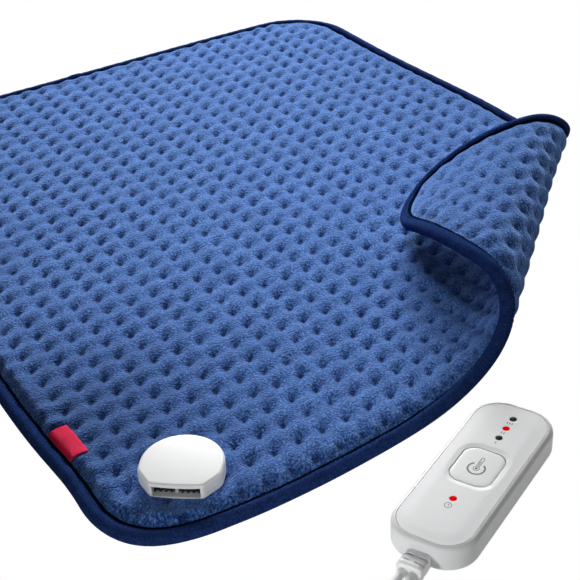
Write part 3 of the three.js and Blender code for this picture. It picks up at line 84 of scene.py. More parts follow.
# %% Fields
class Field:
    """A socket of a shader that can be added, multiplied and fed to other nodes."""

    def __init__(self, tree, socket=None):
        self.tree = tree
        self.socket = socket

    def node(self, kind, inputs=None, output=0, **settings):
        made = self.tree.nodes.new("ShaderNode" + kind)
        for name, value in settings.items():
            setattr(made, name, value)
        for slot, value in (inputs or {}).items():
            if isinstance(value, Field):
                self.tree.links.new(value.socket, made.inputs[slot])
            else:
                made.inputs[slot].default_value = value
        return Field(self.tree, made.outputs[output])

    def math(self, operation, *others):
        return self.node("Math", dict(enumerate((self, *others))), operation=operation)

    def __add__(self, other):
        return self.math("ADD", other)

    def __sub__(self, other):
        return self.math("SUBTRACT", other)

    def __mul__(self, other):
        return self.math("MULTIPLY", other)

    def __truediv__(self, other):
        return self.math("DIVIDE", other)

    def __pow__(self, other):
        return self.math("POWER", other)

    def __rsub__(self, other):
        return self * -1 + other

    def __rtruediv__(self, other):
        return self**-1 * other

    __radd__ = __add__
    __rmul__ = __mul__


print("fields ready")

# %% [markdown]
# Noise, a blend of two colours and a bump come up in almost every finish. A node group could
# hold each of them, but a group has to be opened to be read. So each is a short function that
# adds its nodes to the material at hand.

# %% Nodes that are used often
def noise(where, scale, detail=2.0, distortion=0.0):
    inputs = {"Vector": where, "Scale": scale, "Detail": detail, "Distortion": distortion}
    return where.node("TexNoise", inputs)


def blend(share, first, second):
    return share.node("Mix", {0: share, 6: first, 7: second}, output=2, data_type="RGBA")


def axis_of(where, axis):
    return where.node("SeparateXYZ", {0: where}, output=axis)


def limit(value):
    """A value held between 0 and 1."""
    return value.math("MAXIMUM", 0.0).math("MINIMUM", 1.0)


def new_surface(name, **fixed):
    """A material, its shader with fixed values on it, and a field to start patterns from."""
    material = bpy.data.materials.new(name)
    material.use_nodes = True
    shader = material.node_tree.nodes["Principled BSDF"]
    for socket, value in fixed.items():
        shader.inputs[socket.replace("_", " ")].default_value = value
    return material, shader, Field(material.node_tree)


def drive(shader, socket, field):
    field.tree.links.new(field.socket, shader.inputs[socket])


def raise_bumps(shader, height, distance, strength=1.0):
    bump = height.node("Bump", {"Height": height, "Distance": distance, "Strength": strength})
    drive(shader, "Normal", bump)


print("short names ready")

# %% [markdown]
# ## Materials
#
# The covers are a short plush. Its colour holds painted shade: it is darker in each tuft, and
# darker again over a wide patch near the front left corner. Hair could make single fibres, but
# it is slow and is lost in an export. So the pile is noise in colour and bump, with a sheen for
# the light that grazes its tips. The pattern follows flat coordinates, in metres, that are
# stored on the cloth and bend with it.

# %% Plush
TUFT_PITCH = 17.3 * MM
TUFT_AT = np.array([-18.754, 281.41]) * MM  # one tuft, from the middle of the pad
PIT_SHADE_REACH = 2.2 * MM
PUCKER_REACH = 3.4 * MM
PAINTED_SHADE_AT = (-228 * MM, -185 * MM, 0.0)  # where shade is painted into the plush, near the front left corner
PAINTED_SHADE_REACH = 85 * MM
PILE, LOCKS, NAP = 720, 330, 60  # patches to the metre, from tips of the pile to streaks
PILE_HEIGHT = 1.2 * MM
PLUSH_DEEP = (0.0040, 0.0170, 0.0850, 1)
PLUSH_MIDDLE = (0.0320, 0.0980, 0.3300, 1)
PLUSH_LIGHT = (0.1400, 0.2800, 0.6700, 1)
SHEEN_BLUE = (0.30, 0.50, 1.0, 1)


def tuft_fields(uv):
    """The distance from the nearest tuft, in metres, and a field that turns round it."""
    across = (axis_of(uv, "X") - float(TUFT_AT[0])) / TUFT_PITCH
    along = (axis_of(uv, "Y") - float(TUFT_AT[1])) / TUFT_PITCH
    across = across - across.math("ROUND")
    along = along - along.math("ROUND")
    away = (across * across + along * along).math("SQRT") * TUFT_PITCH
    return away, along.math("ARCTAN2", across)


def fading(distance):
    """1 at no distance, falling off smoothly to nothing at about two."""
    return (distance**2 * -1).math("EXPONENT")


def plush():
    material, shader, start = new_surface(
        "plush",
        Roughness=1.0,
        Specular_IOR_Level=0.0,
        Sheen_Weight=1.0,
        Sheen_Roughness=0.5,
        Sheen_Tint=SHEEN_BLUE,
    )
    uv = start.node("UVMap", uv_map="cloth")
    away, round_it = tuft_fields(uv)
    pile = noise(uv, PILE, 3, 0.4)
    locks = noise(uv, LOCKS, 3, 0.8)
    nap = noise(uv, NAP, 3, 1.2)
    # painted shade: the plush is darkened in each tuft
    pit_shade = fading(away / PIT_SHADE_REACH)
    # painted shade: the plush is darkened round a spot near the front left corner
    off = uv.node("VectorMath", {0: uv, 1: PAINTED_SHADE_AT}, output="Value", operation="DISTANCE")
    painted_shade = fading(off / PAINTED_SHADE_REACH)
    grain = (pile - 0.5) * 2.7 + (locks - 0.5) * 1.0 + (nap - 0.5) * 0.6
    shade = 0.53 + grain - pit_shade * 0.8 - painted_shade * 0.42
    lower = blend(limit(shade * 2), PLUSH_DEEP, PLUSH_MIDDLE)
    drive(shader, "Base Color", blend(limit(shade * 2 - 1), lower, PLUSH_LIGHT))
    crease = (round_it * 5 + nap * 9).math("SINE") * fading(away / PUCKER_REACH)
    raise_bumps(shader, pile * 0.9 + locks * 0.65 + crease * 0.10, PILE_HEIGHT)
    return material


plush_cloth = plush()
print("plush ready")

# %% [markdown]
# The edge tape is a fine twill with painted shade along its hem, in the groove beside the plush,
# and the label is a satin, left bare. The threads could be a wave texture, but that runs through
# a fold in straight planes. Two sines on the stored coordinates turn with the cloth. Felt, sewing
# thread and the ties of the coils have no clear weave, and get two shades of noise.

# %% Other cloth
# painted shade: the tape's colour is darkened along its hem, in the groove beside the plush
GROOVE_SHADE_FADE = 0.7 * MM
GROOVE_SHADE = (0.0006, 0.0012, 0.0045, 1)
NO_GROOVE_SHADE = -1 * MM
THREAD_HEIGHT = 0.45 * MM
FIBRE = 0.2 * MM
MOULD_GRAIN = 0.02 * MM


def woven(name, colours, pitch, slant, shaded_to, **fixed):
    """A twill whose threads lie pitch apart, on the cloth coordinates, with painted shade to its
    hem.
    """
    material, shader, start = new_surface(name, **fixed)
    uv = start.node("UVMap", uv_map="cloth")
    turn = 2 * math.pi / pitch
    rise = axis_of(uv, "X") * turn
    run = axis_of(uv, "Y") * turn
    warp = (rise + run * slant).math("SINE")
    weft = (run - rise * slant).math("SINE")
    threads = warp * 0.5 + weft * 0.25
    mottle = noise(uv, 160, 4)
    fuzz = noise(uv, 700, 3)
    shade = 0.5 + threads * 0.25 + (mottle - 0.5) * 0.9 + (fuzz - 0.5) * 1.5
    shown = limit((axis_of(uv, "Y") - shaded_to) / GROOVE_SHADE_FADE)
    drive(shader, "Base Color", blend(shown, GROOVE_SHADE, blend(limit(shade), *colours)))
    drive(shader, "Roughness", 0.72 + mottle * 0.2)
    raise_bumps(shader, threads * 0.6 + mottle * 2 + fuzz, THREAD_HEIGHT, 0.8)
    return material


tape_cloth = woven(
    "edge_tape",
    [(0.0040, 0.0120, 0.0560, 1), (0.0240, 0.0580, 0.2150, 1)],
    pitch=0.9 * MM,
    slant=0.6,
    shaded_to=2.6 * MM,
    Specular_IOR_Level=0.0,
    Sheen_Weight=0.10,
    Sheen_Roughness=0.4,
    Sheen_Tint=(0.2, 0.42, 1.0, 1),
)
label_cloth = woven(
    "label_satin",
    [(0.92, 0.010, 0.075, 1), (0.98, 0.020, 0.105, 1)],
    pitch=0.5 * MM,
    slant=0.15,
    shaded_to=NO_GROOVE_SHADE,
    Specular_IOR_Level=0.15,
)


def speckled(name, dark, light, scale, rough, bump=MOULD_GRAIN, stretch=(1, 1, 1), **fixed):
    """A moulded, brushed or fibrous surface: two shades, a rough range and a fine bump."""
    material, shader, start = new_surface(name, **fixed)
    where = start.node("TexCoord", output="Object")
    where = start.node("Mapping", {"Vector": where, "Scale": stretch})
    fine = noise(where, scale, 3)
    broad = noise(where, scale / 14, 2)
    drive(shader, "Base Color", blend(limit(fine * 0.6 + broad * 0.4), (*dark, 1), (*light, 1)))
    drive(shader, "Roughness", rough[0] + fine * (rough[1] - rough[0]))
    raise_bumps(shader, fine, bump, 0.5)
    return material


felt = speckled("felt", (0.62, 0.62, 0.58), (0.78, 0.78, 0.75), 900, (0.85, 1.0), FIBRE)
thread = speckled(
    "thread",
    (0.003, 0.006, 0.026),
    (0.010, 0.020, 0.070),
    2500,
    (0.8, 1.0),
    Specular_IOR_Level=0.0,
)
tie_cloth = speckled("tie", (0.006, 0.006, 0.007), (0.020, 0.020, 0.022), 1800, (0.7, 1.0), FIBRE)
print("cloth ready")

# %% [markdown]
# The shells are moulded plastic with a faint grain, the contacts are brushed metal and the
# lights are small lenses. Flat colours would do from afar, but close up they look like clay.
# So each finish has two near shades, a range of roughness and a very fine bump. A lit lens
# glows a little by itself, because no lamp stands behind it.

# %% Plastic, metal and glass
FINE_GRAIN = 0.004 * MM
MATT, SATIN, SHINY = (0.4, 0.6), (0.35, 0.5), (0.22, 0.4)  # ranges of roughness
BRUSHED = {"stretch": (1, 1, 14), "Metallic": 1.0}
LIT_RED = [(0.40, 0.0, 0.001, 1), (0.55, 0.001, 0.002, 1)]
GLOW_RED = [(0.80, 0.0, 0.002, 1), (1.0, 0.004, 0.006, 1)]

shell_white = speckled(
    "shell_white",
    (0.80, 0.81, 0.82),
    (0.84, 0.845, 0.85),
    1600,
    (0.40, 0.52),
    FINE_GRAIN,
    Specular_IOR_Level=0.35,
)
# painted light: the socket's white is a lighter copy of the shell's, so that it looks more
# brightly lit
lit_socket_white = speckled(
    "lit_socket_white", (0.87, 0.88, 0.89), (0.91, 0.915, 0.92), 1600, (0.36, 0.48), FINE_GRAIN
)
cord_white = speckled("cord_white", (0.89, 0.895, 0.90), (0.93, 0.935, 0.94), 700, (0.38, 0.5))
insert_grey = speckled("insert_grey", (0.40, 0.40, 0.405), (0.52, 0.52, 0.525), 900, MATT)
symbol_ink = speckled("symbol_ink", (0.035, 0.036, 0.038), (0.060, 0.061, 0.064), 3000, MATT)
wire_grey = speckled("wire_grey", (0.42, 0.39, 0.33), (0.52, 0.49, 0.43), 600, (0.45, 0.65))
board_green = speckled("board_green", (0.012, 0.10, 0.035), (0.030, 0.17, 0.06), 500, SATIN)
part_black = speckled("part_black", (0.008, 0.008, 0.009), (0.025, 0.025, 0.027), 1200, MATT)
part_yellow = speckled("part_yellow", (0.55, 0.36, 0.04), (0.68, 0.46, 0.07), 900, SATIN)
steel = speckled("steel", (0.48, 0.49, 0.51), (0.62, 0.63, 0.65), 900, SHINY, **BRUSHED)
brass = speckled("brass", (0.52, 0.36, 0.12), (0.68, 0.50, 0.20), 900, SHINY, **BRUSHED)
lens_dark = speckled(
    "lens_dark",
    (0.006, 0.005, 0.005),
    (0.014, 0.011, 0.011),
    600,
    (0.5, 0.6),
    Specular_IOR_Level=0.05,
)


def lit_lens():
    material, shader, start = new_surface(
        "lens_lit", Roughness=0.5, Specular_IOR_Level=0.0, Emission_Strength=0.4
    )
    glow = noise(start.node("TexCoord", output="Object"), 500, 2)
    drive(shader, "Base Color", blend(glow, *LIT_RED))
    drive(shader, "Emission Color", blend(glow, *GLOW_RED))
    return material


lens_lit = lit_lens()
print(f"{len(bpy.data.materials)} materials")

# %% [markdown]
# ## Building in mesh code
#
# Most pieces here are mouldings with round edges, or cloth that follows a formula. They could
# be modelled by hand from cubes, but then no size could be read again. So a piece is made of
# points and faces in code. Lofts join rings of equal counts, `carve` cuts closed shapes out
# of a piece, and `eased` copies a CAD solid and softens its edges.

# %% Objects
SHARP = 40  # degrees from which an edge is shown sharp
SAME_POINT = 0.001 * MM


def bare_object(name, points, faces):
    mesh = bpy.data.meshes.new(name)
    corners = [tuple(map(int, face)) for face in faces]
    mesh.from_pydata(np.asarray(points, float).tolist(), [], corners)
    form = bmesh.new()
    form.from_mesh(mesh)
    bmesh.ops.recalc_face_normals(form, faces=form.faces)
    form.to_mesh(mesh)
    form.free()
    made = bpy.data.objects.new(name, mesh)
    bpy.context.scene.collection.objects.link(made)
    return made


def smooth(piece, sharp_from=SHARP):
    piece.data.shade_smooth()
    piece.data.set_sharp_from_angle(angle=math.radians(sharp_from))


def make_piece(name, shape, material, body=ROOT, sharp_from=SHARP):
    piece = bare_object(name, *shape)
    piece.data.materials.append(material)
    smooth(piece, sharp_from)
    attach(piece, body)
    return piece


def keep_result(piece):
    """Keeps what a piece's modifiers make as its own mesh."""
    bpy.context.view_layer.update()
    shaped = piece.evaluated_get(bpy.context.evaluated_depsgraph_get())
    piece.data = bpy.data.meshes.new_from_object(shaped)
    piece.modifiers.clear()


def carve(piece, shapes, operation="DIFFERENCE"):
    """Cuts closed shapes out of a piece, or joins them to it."""
    tools = [bare_object("cutter", *shape) for shape in shapes]
    for tool in tools:
        cut = piece.modifiers.new("cut", "BOOLEAN")
        cut.object = tool
        cut.operation = operation
        cut.solver = "EXACT"
    keep_result(piece)
    for tool in tools:
        bpy.data.objects.remove(tool)
    smooth(piece)


def ease_edges(piece, width):
    bevel = piece.modifiers.new("eased_edges", "BEVEL")
    bevel.width = width
    bevel.segments = 2
    bevel.limit_method = "ANGLE"
    bevel.angle_limit = math.radians(SHARP)
    bevel.harden_normals = True


def eased(node, name, material, width, body=ROOT):
    """A copy of a CAD solid with eased edges, which stands for it."""
    form = bmesh.new()
    form.from_mesh(nodes[node].data)
    bmesh.ops.remove_doubles(form, verts=form.verts, dist=SAME_POINT)
    flat = math.radians(1)
    bmesh.ops.dissolve_limit(form, angle_limit=flat, verts=form.verts, edges=form.edges)
    mesh = bpy.data.meshes.new(name)
    form.to_mesh(mesh)
    form.free()
    mesh.materials.append(material)
    piece = bpy.data.objects.new(name, mesh)
    bpy.context.scene.collection.objects.link(piece)
    smooth(piece)
    ease_edges(piece, width)
    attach(piece, body)
    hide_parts(node)
    return piece


print("tools for objects ready")

# %% [markdown]
# Outlines and rings are plain arrays of points. Blender has circles and rectangles of its own,
# but they can't be asked for a point after some length, or for a ring that lies further in.
# So short functions make the outlines, measure along them and set them at a height.

# %% Outlines and rings
SMALLEST_BEND = 0.05 * MM


def placed(points, at, heading):
    """Points of a local frame, carried to the frame of the whole object."""
    x, y, z = np.array(points, float).T
    cos, sin = math.cos(heading), math.sin(heading)
    return np.column_stack([cos * x - sin * y + at[0], sin * x + cos * y + at[1], z])


def level(outline, height):
    """A ring at one height, or at a height for each of its points."""
    return np.column_stack([outline, np.broadcast_to(height, len(outline))])


def loft(rings, closed=False):
    """Points and faces through rings of equal counts, capped unless they close on themselves."""
    count = len(rings[0])
    here = np.arange(count)
    there = np.roll(here, -1)
    faces = []
    for i in range(len(rings) if closed else len(rings) - 1):
        low = i * count
        high = (i + 1) % len(rings) * count
        quads = [low + here, low + there, high + there, high + here]
        faces.extend(np.column_stack(quads).tolist())
    if not closed:
        faces.append(list(range(count)))
        faces.append(list(range((len(rings) - 1) * count, len(rings) * count)))
    return np.concatenate(rings), faces


def run_along(points):
    """The length of a line of points up to each of them."""
    return np.concatenate([[0], np.cumsum(np.linalg.norm(np.diff(points, axis=0), axis=1))])


def points_at(spots, run, points):
    """Places on a line of points, after given lengths of it."""
    return np.column_stack([np.interp(spots, run, column) for column in points.T])


def on_circle(angles, radius, middle=(0, 0)):
    return np.column_stack([np.cos(angles), np.sin(angles)]) * radius + middle


def left_of(way):
    """Steps of unit length to the left of given directions."""
    return np.column_stack([-way[:, 1], way[:, 0]]) / np.linalg.norm(way, axis=1, keepdims=True)


def rounded_outline(length, width, radius, inset=0.0, corner_steps=16, side_steps=10):
    """Points round a rectangle with round corners, counterclockwise."""
    half = np.array([length, width]) / 2 - inset
    bend = max(radius - inset, SMALLEST_BEND)
    arcs = []
    for quarter, sign in enumerate([(1, 1), (-1, 1), (-1, -1), (1, -1)]):
        angles = (quarter + np.linspace(0, 1, corner_steps + 1)) * math.pi / 2
        arcs.append(on_circle(angles, bend, np.array(sign) * (half - bend)))
    points = []
    for arc, following in zip(arcs, arcs[1:] + arcs[:1]):
        points.extend(arc)
        for share in np.arange(1, side_steps) / side_steps:
            points.append((1 - share) * arc[-1] + share * following[0])
    return np.array(points)


def beyond(flat, length, width, radius):
    """How far points lie outside a rounded rectangle, negative inside it."""
    over = np.abs(flat) - np.array([length, width]) / 2 + radius
    return np.hypot(*np.maximum(over, 0).T) + np.minimum(over.max(axis=1), 0) - radius


def disc(x, y, radius, height, sides=24):
    angles = np.arange(sides) * 2 * math.pi / sides
    return level(on_circle(angles, radius, (x, y)), height)


def post(x, y, radius, low, high, sides=24):
    return [disc(x, y, radius, height, sides) for height in (low, high)]


def quarter_round(radius):
    """Insets and heights up a rounded lower edge, from its foot to the wall."""
    angles = np.linspace(0, math.pi / 2, 9)
    return [(radius * (1 - math.sin(a)), radius * (1 - math.cos(a))) for a in angles]


def ease(value):
    """A smooth step from 0 to 1."""
    value = np.clip(value, 0, 1)
    return value * value * (3 - 2 * value)


print("tools for outlines ready")

# %% [markdown]
# ## Cords
#
# Both cords leave the strain relief side by side and run out of the picture, where they are
# coiled and tied. The mains cord ends in a plug and the pad's cord in a connector with two
# latches. A cord could be a swept mesh or a simulated rope. A curve with a round bevel was
# chosen, because it keeps its length exactly and is easy to edit. Its points are those of the
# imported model, in a frame that starts at the strain relief.

# %% Routes of the cords
CORD = 5 * MM
COIL_SPREAD = 6 * MM
COIL_RISE = 6 * MM
COIL_BASE = 3.8 * MM
COIL_STEPS = 36
HANDSET_HEADING = math.radians(26.4)
CORD_START = -80.3 * MM
RELIEF_MIDDLE = 6.2 * MM

handset_at = np.mean(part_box("handset_tub"), axis=0)[:2]
cord_at = placed([[CORD_START, 0, 0]], handset_at, HANDSET_HEADING)[0, :2]


def smooth_route(points, count):
    """Evenly spaced points on a smooth curve through chosen ones, given in millimetres."""
    points = np.array(points, float) * MM
    ends = 2 * points[[0, -1]] - points[[1, -2]]
    knots = np.concatenate([ends[:1], points, ends[1:]])
    share = np.linspace(0, 1, 20, endpoint=False)[:, None]
    fine = []
    for a, b, c, d in zip(knots, knots[1:], knots[2:], knots[3:]):
        bend = (2 * a - 5 * b + 4 * c - d) * share**2 + (3 * b - a - 3 * c + d) * share**3
        fine.append(b + ((c - a) * share + bend) / 2)
    fine = np.concatenate([*fine, points[-1:]])
    run = run_along(fine)
    return points_at(np.linspace(0, run[-1], count), run, fine)


def coil_route(centre, inner, turns, layers, start, spin):
    """Loops that spiral in and out at a steady rate, and climb where the spiral turns back."""
    per_layer = turns / layers
    turned = np.linspace(0, turns, round(turns * COIL_STEPS) + 1)
    phase = turned / per_layer
    layer = np.minimum(np.floor(phase), layers - 1)
    share = np.where(layer % 2 == 0, layer + 1 - phase, phase - layer)
    radius = inner + COIL_SPREAD * per_layer * share
    climbs = [np.clip((turned - k * per_layer) / 0.5 + 0.5, 0, 1) for k in range(1, layers)]
    angle = start + spin * turned * 2 * math.pi
    return np.column_stack([
        centre[0] + radius * np.cos(angle),
        centre[1] + radius * np.sin(angle),
        COIL_BASE + COIL_RISE * sum(climbs),
    ])


print("cords start at", cord_at.round(4))

# %% [markdown]
# A cord runs free from the strain relief, then in loops, then in a tail up to its plug. It could
# be drawn by hand in the viewport, but then its length would not be known. So the free ends go
# through a few chosen points, and the loops are given by how wide and how often they turn.

# %% The two routes
mains_free = [
    (0, 3.1, 6.2),
    (6, 3.1, 5.9),
    (16, 3.3, 4),
    (27, 3.5, 2.9),
    (38, 3.3, 2.8),
    (47, 3.1, 3.6),
    (56.7, 3.1, 3.8),
]
mains_tail = [
    (99.875, 46.275, 21.8),
    (99.875, 55.975, 21),
    (100.175, 67.975, 17.8),
    (100.175, 81.975, 12.5),
    (99.875, 93.975, 9.3),
    (99.875, 103.975, 8.5),
]
pad_free = [
    (0, -3.1, 6.2),
    (6, -3.1, 5.9),
    (18, -3.3, 3.9),
    (32, -3.5, 2.8),
    (50, -3.4, 2.6),
    (66, -3.1, 2.8),
    (78, -3.1, 3.6),
    (89.7, -3.1, 3.8),
]
pad_tail = [
    (127.75, -41.15, 9.8),
    (127.75, -49.85, 9.4),
    (127.55, -58.85, 8.4),
    (127.55, -68.85, 6.7),
    (127.75, -77.85, 5.7),
    (127.75, -86.85, 5.5),
]
mains_loops = coil_route(
    (62 * MM, 40.975 * MM), inner=22.5 * MM, turns=10.25, layers=4, start=-math.pi / 2, spin=1
)
pad_loops = coil_route(
    (95 * MM, -35.85 * MM), inner=26 * MM, turns=2.25, layers=2, start=math.pi / 2, spin=-1
)
mains_route = np.concatenate(
    [smooth_route(mains_free, 16), mains_loops, smooth_route(mains_tail, 14)]
)
pad_route = np.concatenate([smooth_route(pad_free, 18), pad_loops, smooth_route(pad_tail, 12)])
for route in (mains_route, pad_route):
    print(f"a cord of {run_along(route)[-1]:.3f} m")

# %% [markdown]
# Plug, sleeve, blades, latches and tie go wherever their cord goes. They could be joined to it
# as one mesh, but the latches move, and brass and rubber are other finishes. So they stay pieces
# of their own, eased copies of the CAD solids, and are named together with their cord.

# %% Cords and what is on them
MAINS_LENGTH = 2.07
PAD_LEAD_LENGTH = 0.57
LANE = 3.1 * MM


def cord_piece(name, route):
    line = bpy.data.curves.new(name, "CURVE")
    line.dimensions = "3D"
    line.bevel_depth = CORD / 2
    line.bevel_resolution = 4
    line.use_fill_caps = True
    spline = line.splines.new("POLY")
    spline.points.add(len(route) - 1)
    for point, place in zip(spline.points, placed(route, cord_at, HANDSET_HEADING + math.pi)):
        point.co = (*place, 1)
    line.materials.append(cord_white)
    piece = bpy.data.objects.new(name, line)
    bpy.context.scene.collection.objects.link(piece)
    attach(piece, ROOT)
    return piece


mains_run = cord_piece("mains_lead", mains_route)
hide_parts("mains_cord", "mains_cord_coil", "mains_cord_tail")
mains_on = [
    eased("mains_plug_body", "mains_plug", cord_white, 0.7 * MM),
    eased("mains_plug_relief", "mains_plug_sleeve", cord_white, 0.25 * MM),
    eased("mains_blade_narrow", "plug_blade_narrow", brass, 0.25 * MM),
    eased("mains_blade_wide", "plug_blade_wide", brass, 0.25 * MM),
    eased("mains_coil_tie", "mains_tie", tie_cloth, 0.3 * MM),
]
pad_run = cord_piece("pad_lead", pad_route)
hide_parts("pad_cord", "pad_cord_coil", "pad_cord_tail")
pad_on = [
    eased("pad_plug_body", "pad_plug", shell_white, 0.4 * MM),
    eased("pad_plug_relief", "pad_plug_sleeve", cord_white, 0.25 * MM),
    eased("pad_plug_latch_left", "plug_latch_left", shell_white, 0.25 * MM, "latch_left"),
    eased("pad_plug_latch_right", "plug_latch_right", shell_white, 0.25 * MM, "latch_right"),
    eased("pad_coil_tie", "pad_tie", tie_cloth, 0.3 * MM),
]
for run, lane, length, far_end, on_it in [
    (mains_run, LANE, MAINS_LENGTH, "plug", mains_on),
    (pad_run, -LANE, PAD_LEAD_LENGTH, "connector", pad_on),
]:
    way_out = placed([[0, lane, RELIEF_MIDDLE]], cord_at, HANDSET_HEADING + math.pi)[0]
print(len(mains_on) + len(pad_on), "pieces on two cords")

# %% [markdown]
# ## The pad as a flat sheet
#
# The real pad is padded cloth whose front right corner has been rolled over by hand. A cloth
# simulation could roll it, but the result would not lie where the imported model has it. Cloth
# hardly stretches in a roll, so a formula does it: the pad is drawn flat, from its middle, and
# `lay_out` carries flat points and their heights onto the roll. The bend tightens, turns over
# and eases into the flap.

# %% The rolled corner
PAD_CORNER = 60 * MM
ROLL_HEADING = math.radians(-48)
ROLL_REACH = 231 * MM
ROLL_EASE = 88 * MM
ROLL_TURN = math.radians(165)
TAIL_LENGTH = 118 * MM
TAIL_RADIUS = 118 * MM
TAIL_EASE = 15 * MM

tape_low, tape_high = np.array(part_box("pad_edge_binding"))
PAD_WIDTH, PAD_LENGTH = (tape_high - tape_low)[:2]
pad_at = (tape_low + tape_high)[:2] / 2
roll_along = np.array([math.cos(ROLL_HEADING), math.sin(ROLL_HEADING)])
roll_across = np.array([-roll_along[1], roll_along[0]])
roll_start = np.array([PAD_WIDTH / 2, -PAD_LENGTH / 2]) @ roll_along - ROLL_REACH


def roll_profile():
    """The turn, run and rise after each millimetre past the start of the roll."""
    tightest = (ROLL_REACH - TAIL_LENGTH - ROLL_EASE / 2) / ROLL_TURN
    stops = [(0.0, 0.0, 0.0)]
    tail_from = math.inf
    for step in range(1, round(ROLL_REACH / MM) + 1):
        turn, run, rise = stops[-1]
        past = step * MM
        if turn > ROLL_TURN:
            tail_from = min(tail_from, past)
        share = min(max((past - tail_from) / TAIL_EASE, 0), 1)
        bend = (1 - share) * min(past / ROLL_EASE, 1) / tightest + share / TAIL_RADIUS
        middle = turn + bend * MM / 2
        run, rise = run + math.cos(middle) * MM, rise + math.sin(middle) * MM
        stops.append((turn + bend * MM, run, rise))
    return np.array(stops)


roll_stops = roll_profile()
print(f"pad {PAD_WIDTH:.3f} by {PAD_LENGTH:.3f} m, its roll {roll_stops[:, 2].max():.3f} m high")

# %% [markdown]
# Real cloth is never laid quite true: the edges of the pad wave by some millimetres, and the
# far end of the roll sags. A lattice could pull the finished mesh about, but then tape, label
# and covers would each need one. So the flat points are shifted before they are rolled, and
# whatever lies on the pad follows.

# %% Slack, and laying the pad out
SLACK = np.array([
    # a place on the pad, how far the cloth lies out of true there, and over what reach
    (-240, -288, -4.0, -3.8, 36),
    (-170, -300, -0.3, -4.6, 52),
    (-100, -300, -0.5, -1.0, 50),
    (-252, -232, 1.8, 0.5, 36),
    (-254, -155, -1.3, 0.5, 55),
    (252, 15, 3.2, 1.5, 65),
    (245, 180, -4.2, -2.5, 75),
    (225, 280, -4.8, -5.0, 65),
    (120, 298, 0.3, -1.8, 80),
    (-20, 300, 0.0, -1.7, 95),
    (5, -305, -1.0, 8.6, 64),
    (45, -303, -2.0, 5.5, 45),
    (-120, -303, 0.0, -1.1, 34),
    (-203, -303, 0.0, 1.0, 22),
]) * MM
SLUMP = 0.11
SLUMP_OUT = 4 * MM
SLUMP_FROM = 20 * MM
SLUMP_OVER = 150 * MM
SLUMP_PAST = 90 * MM
LIFT_FROM = 12 * MM
LIFT_OVER = 40 * MM


def eased_slack(flat):
    """Flat points where the slack of the cloth leaves them."""
    moved = flat.copy()
    for x, y, out_x, out_y, reach in SLACK:
        near = np.exp(-((flat - (x, y)) ** 2).sum(axis=1) / reach**2)
        moved += near[:, None] * (out_x, out_y)
    return moved


def past_roll(flat):
    return np.clip(flat @ roll_along - roll_start, 0, ROLL_REACH)


def lifted(flat):
    """From 0 where the pad lies on the floor to 1 where the roll has taken it up."""
    return ease((past_roll(flat) - LIFT_FROM) / LIFT_OVER)


def lay_out(flat, height):
    """Flat points, with their heights above the underside, on the rolled pad."""
    flat = eased_slack(flat)
    marks = np.arange(len(roll_stops)) * MM
    past = past_roll(flat)
    turn, run, rise = (np.interp(past, marks, roll_stops[:, k]) for k in range(3))
    across = flat @ roll_across
    slump = ease((across - SLUMP_FROM) / SLUMP_OVER) * ease(past / SLUMP_PAST)
    reach = np.minimum(flat @ roll_along, roll_start) + run - height * np.sin(turn)
    reach += SLUMP_OUT * slump
    place = reach[:, None] * roll_along + across[:, None] * roll_across + pad_at
    return np.column_stack([place, rise * (1 - SLUMP * slump) + height * np.cos(turn)])


def inset_of(flat):
    return -beyond(flat, PAD_WIDTH, PAD_LENGTH, PAD_CORNER)


def past_corner(flat):
    """How far points lie past the middles of the corner arcs, along X and Y."""
    return np.maximum(np.abs(flat) - np.array([PAD_WIDTH, PAD_LENGTH]) / 2 + PAD_CORNER, 0)


def edge_normal(flat):
    out = past_corner(flat) * np.sign(flat)
    return out / np.linalg.norm(out, axis=1, keepdims=True)


print(len(SLACK), "places where the cloth lies out of true")

# %% [markdown]
# ## Quilted covers
#
# The covers are plush that is held to the filling at a square grid of tufts. A cloth blown up
# between pinned points could make them, but a thousand pins are slow and stray from the grid.
# So each cover is a closed body whose shown side is a fine grid locked to the tufts: every
# tuft is a narrow pit, and the plush swells between them. The upper cover lies low under the
# socket and the label, and rounds off beside the tape.

# %% Tufts
TUFT_BOWL = 9.2 * MM
TUFT_CUSP = 2.4 * MM
BOWL_SHARE = 0.18
TUFT_INSET = 15 * MM
TUFT_STRAY = 0.7 * MM
TUFT_PULL = (0.82, 1.08)
GRID = 64
random = np.random.default_rng(11)
tuft_stray = random.uniform(-TUFT_STRAY, TUFT_STRAY, (GRID, GRID, 2))
tuft_pull = random.uniform(*TUFT_PULL, (GRID, GRID))


def tufts(flat):
    """The sink, 1 in the middle of a tuft, and the swell, 1 midway between four of them."""
    cell = np.rint((flat - TUFT_AT) / TUFT_PITCH).astype(int)
    spot = TUFT_AT + cell * TUFT_PITCH
    column, line = (cell + GRID // 2).T
    away = np.hypot(*(flat - spot - tuft_stray[column, line]).T)
    bowl = 0.5 + 0.5 * np.cos(math.pi * np.minimum(away / TUFT_BOWL, 1))
    pinch = np.exp(-away / TUFT_CUSP)
    sink = tuft_pull[column, line] * (BOWL_SHARE * bowl + (1 - BOWL_SHARE) * pinch)
    sink[inset_of(spot) < TUFT_INSET] = 0
    turn = 2 * math.pi * (flat - TUFT_AT) / TUFT_PITCH
    swell = np.prod(0.5 - 0.5 * np.cos(turn), axis=1)
    return sink, swell


print(f"tufts {TUFT_PITCH:.4f} m apart")

# %% [markdown]
# The plush is held down beside the tape and under the socket and the label, and short folds
# run in from the tape. Such places could be sculpted by hand, but not at an exact spot. So
# each is a number from 0 to 1 that fades in smoothly, and the heights are made from them.

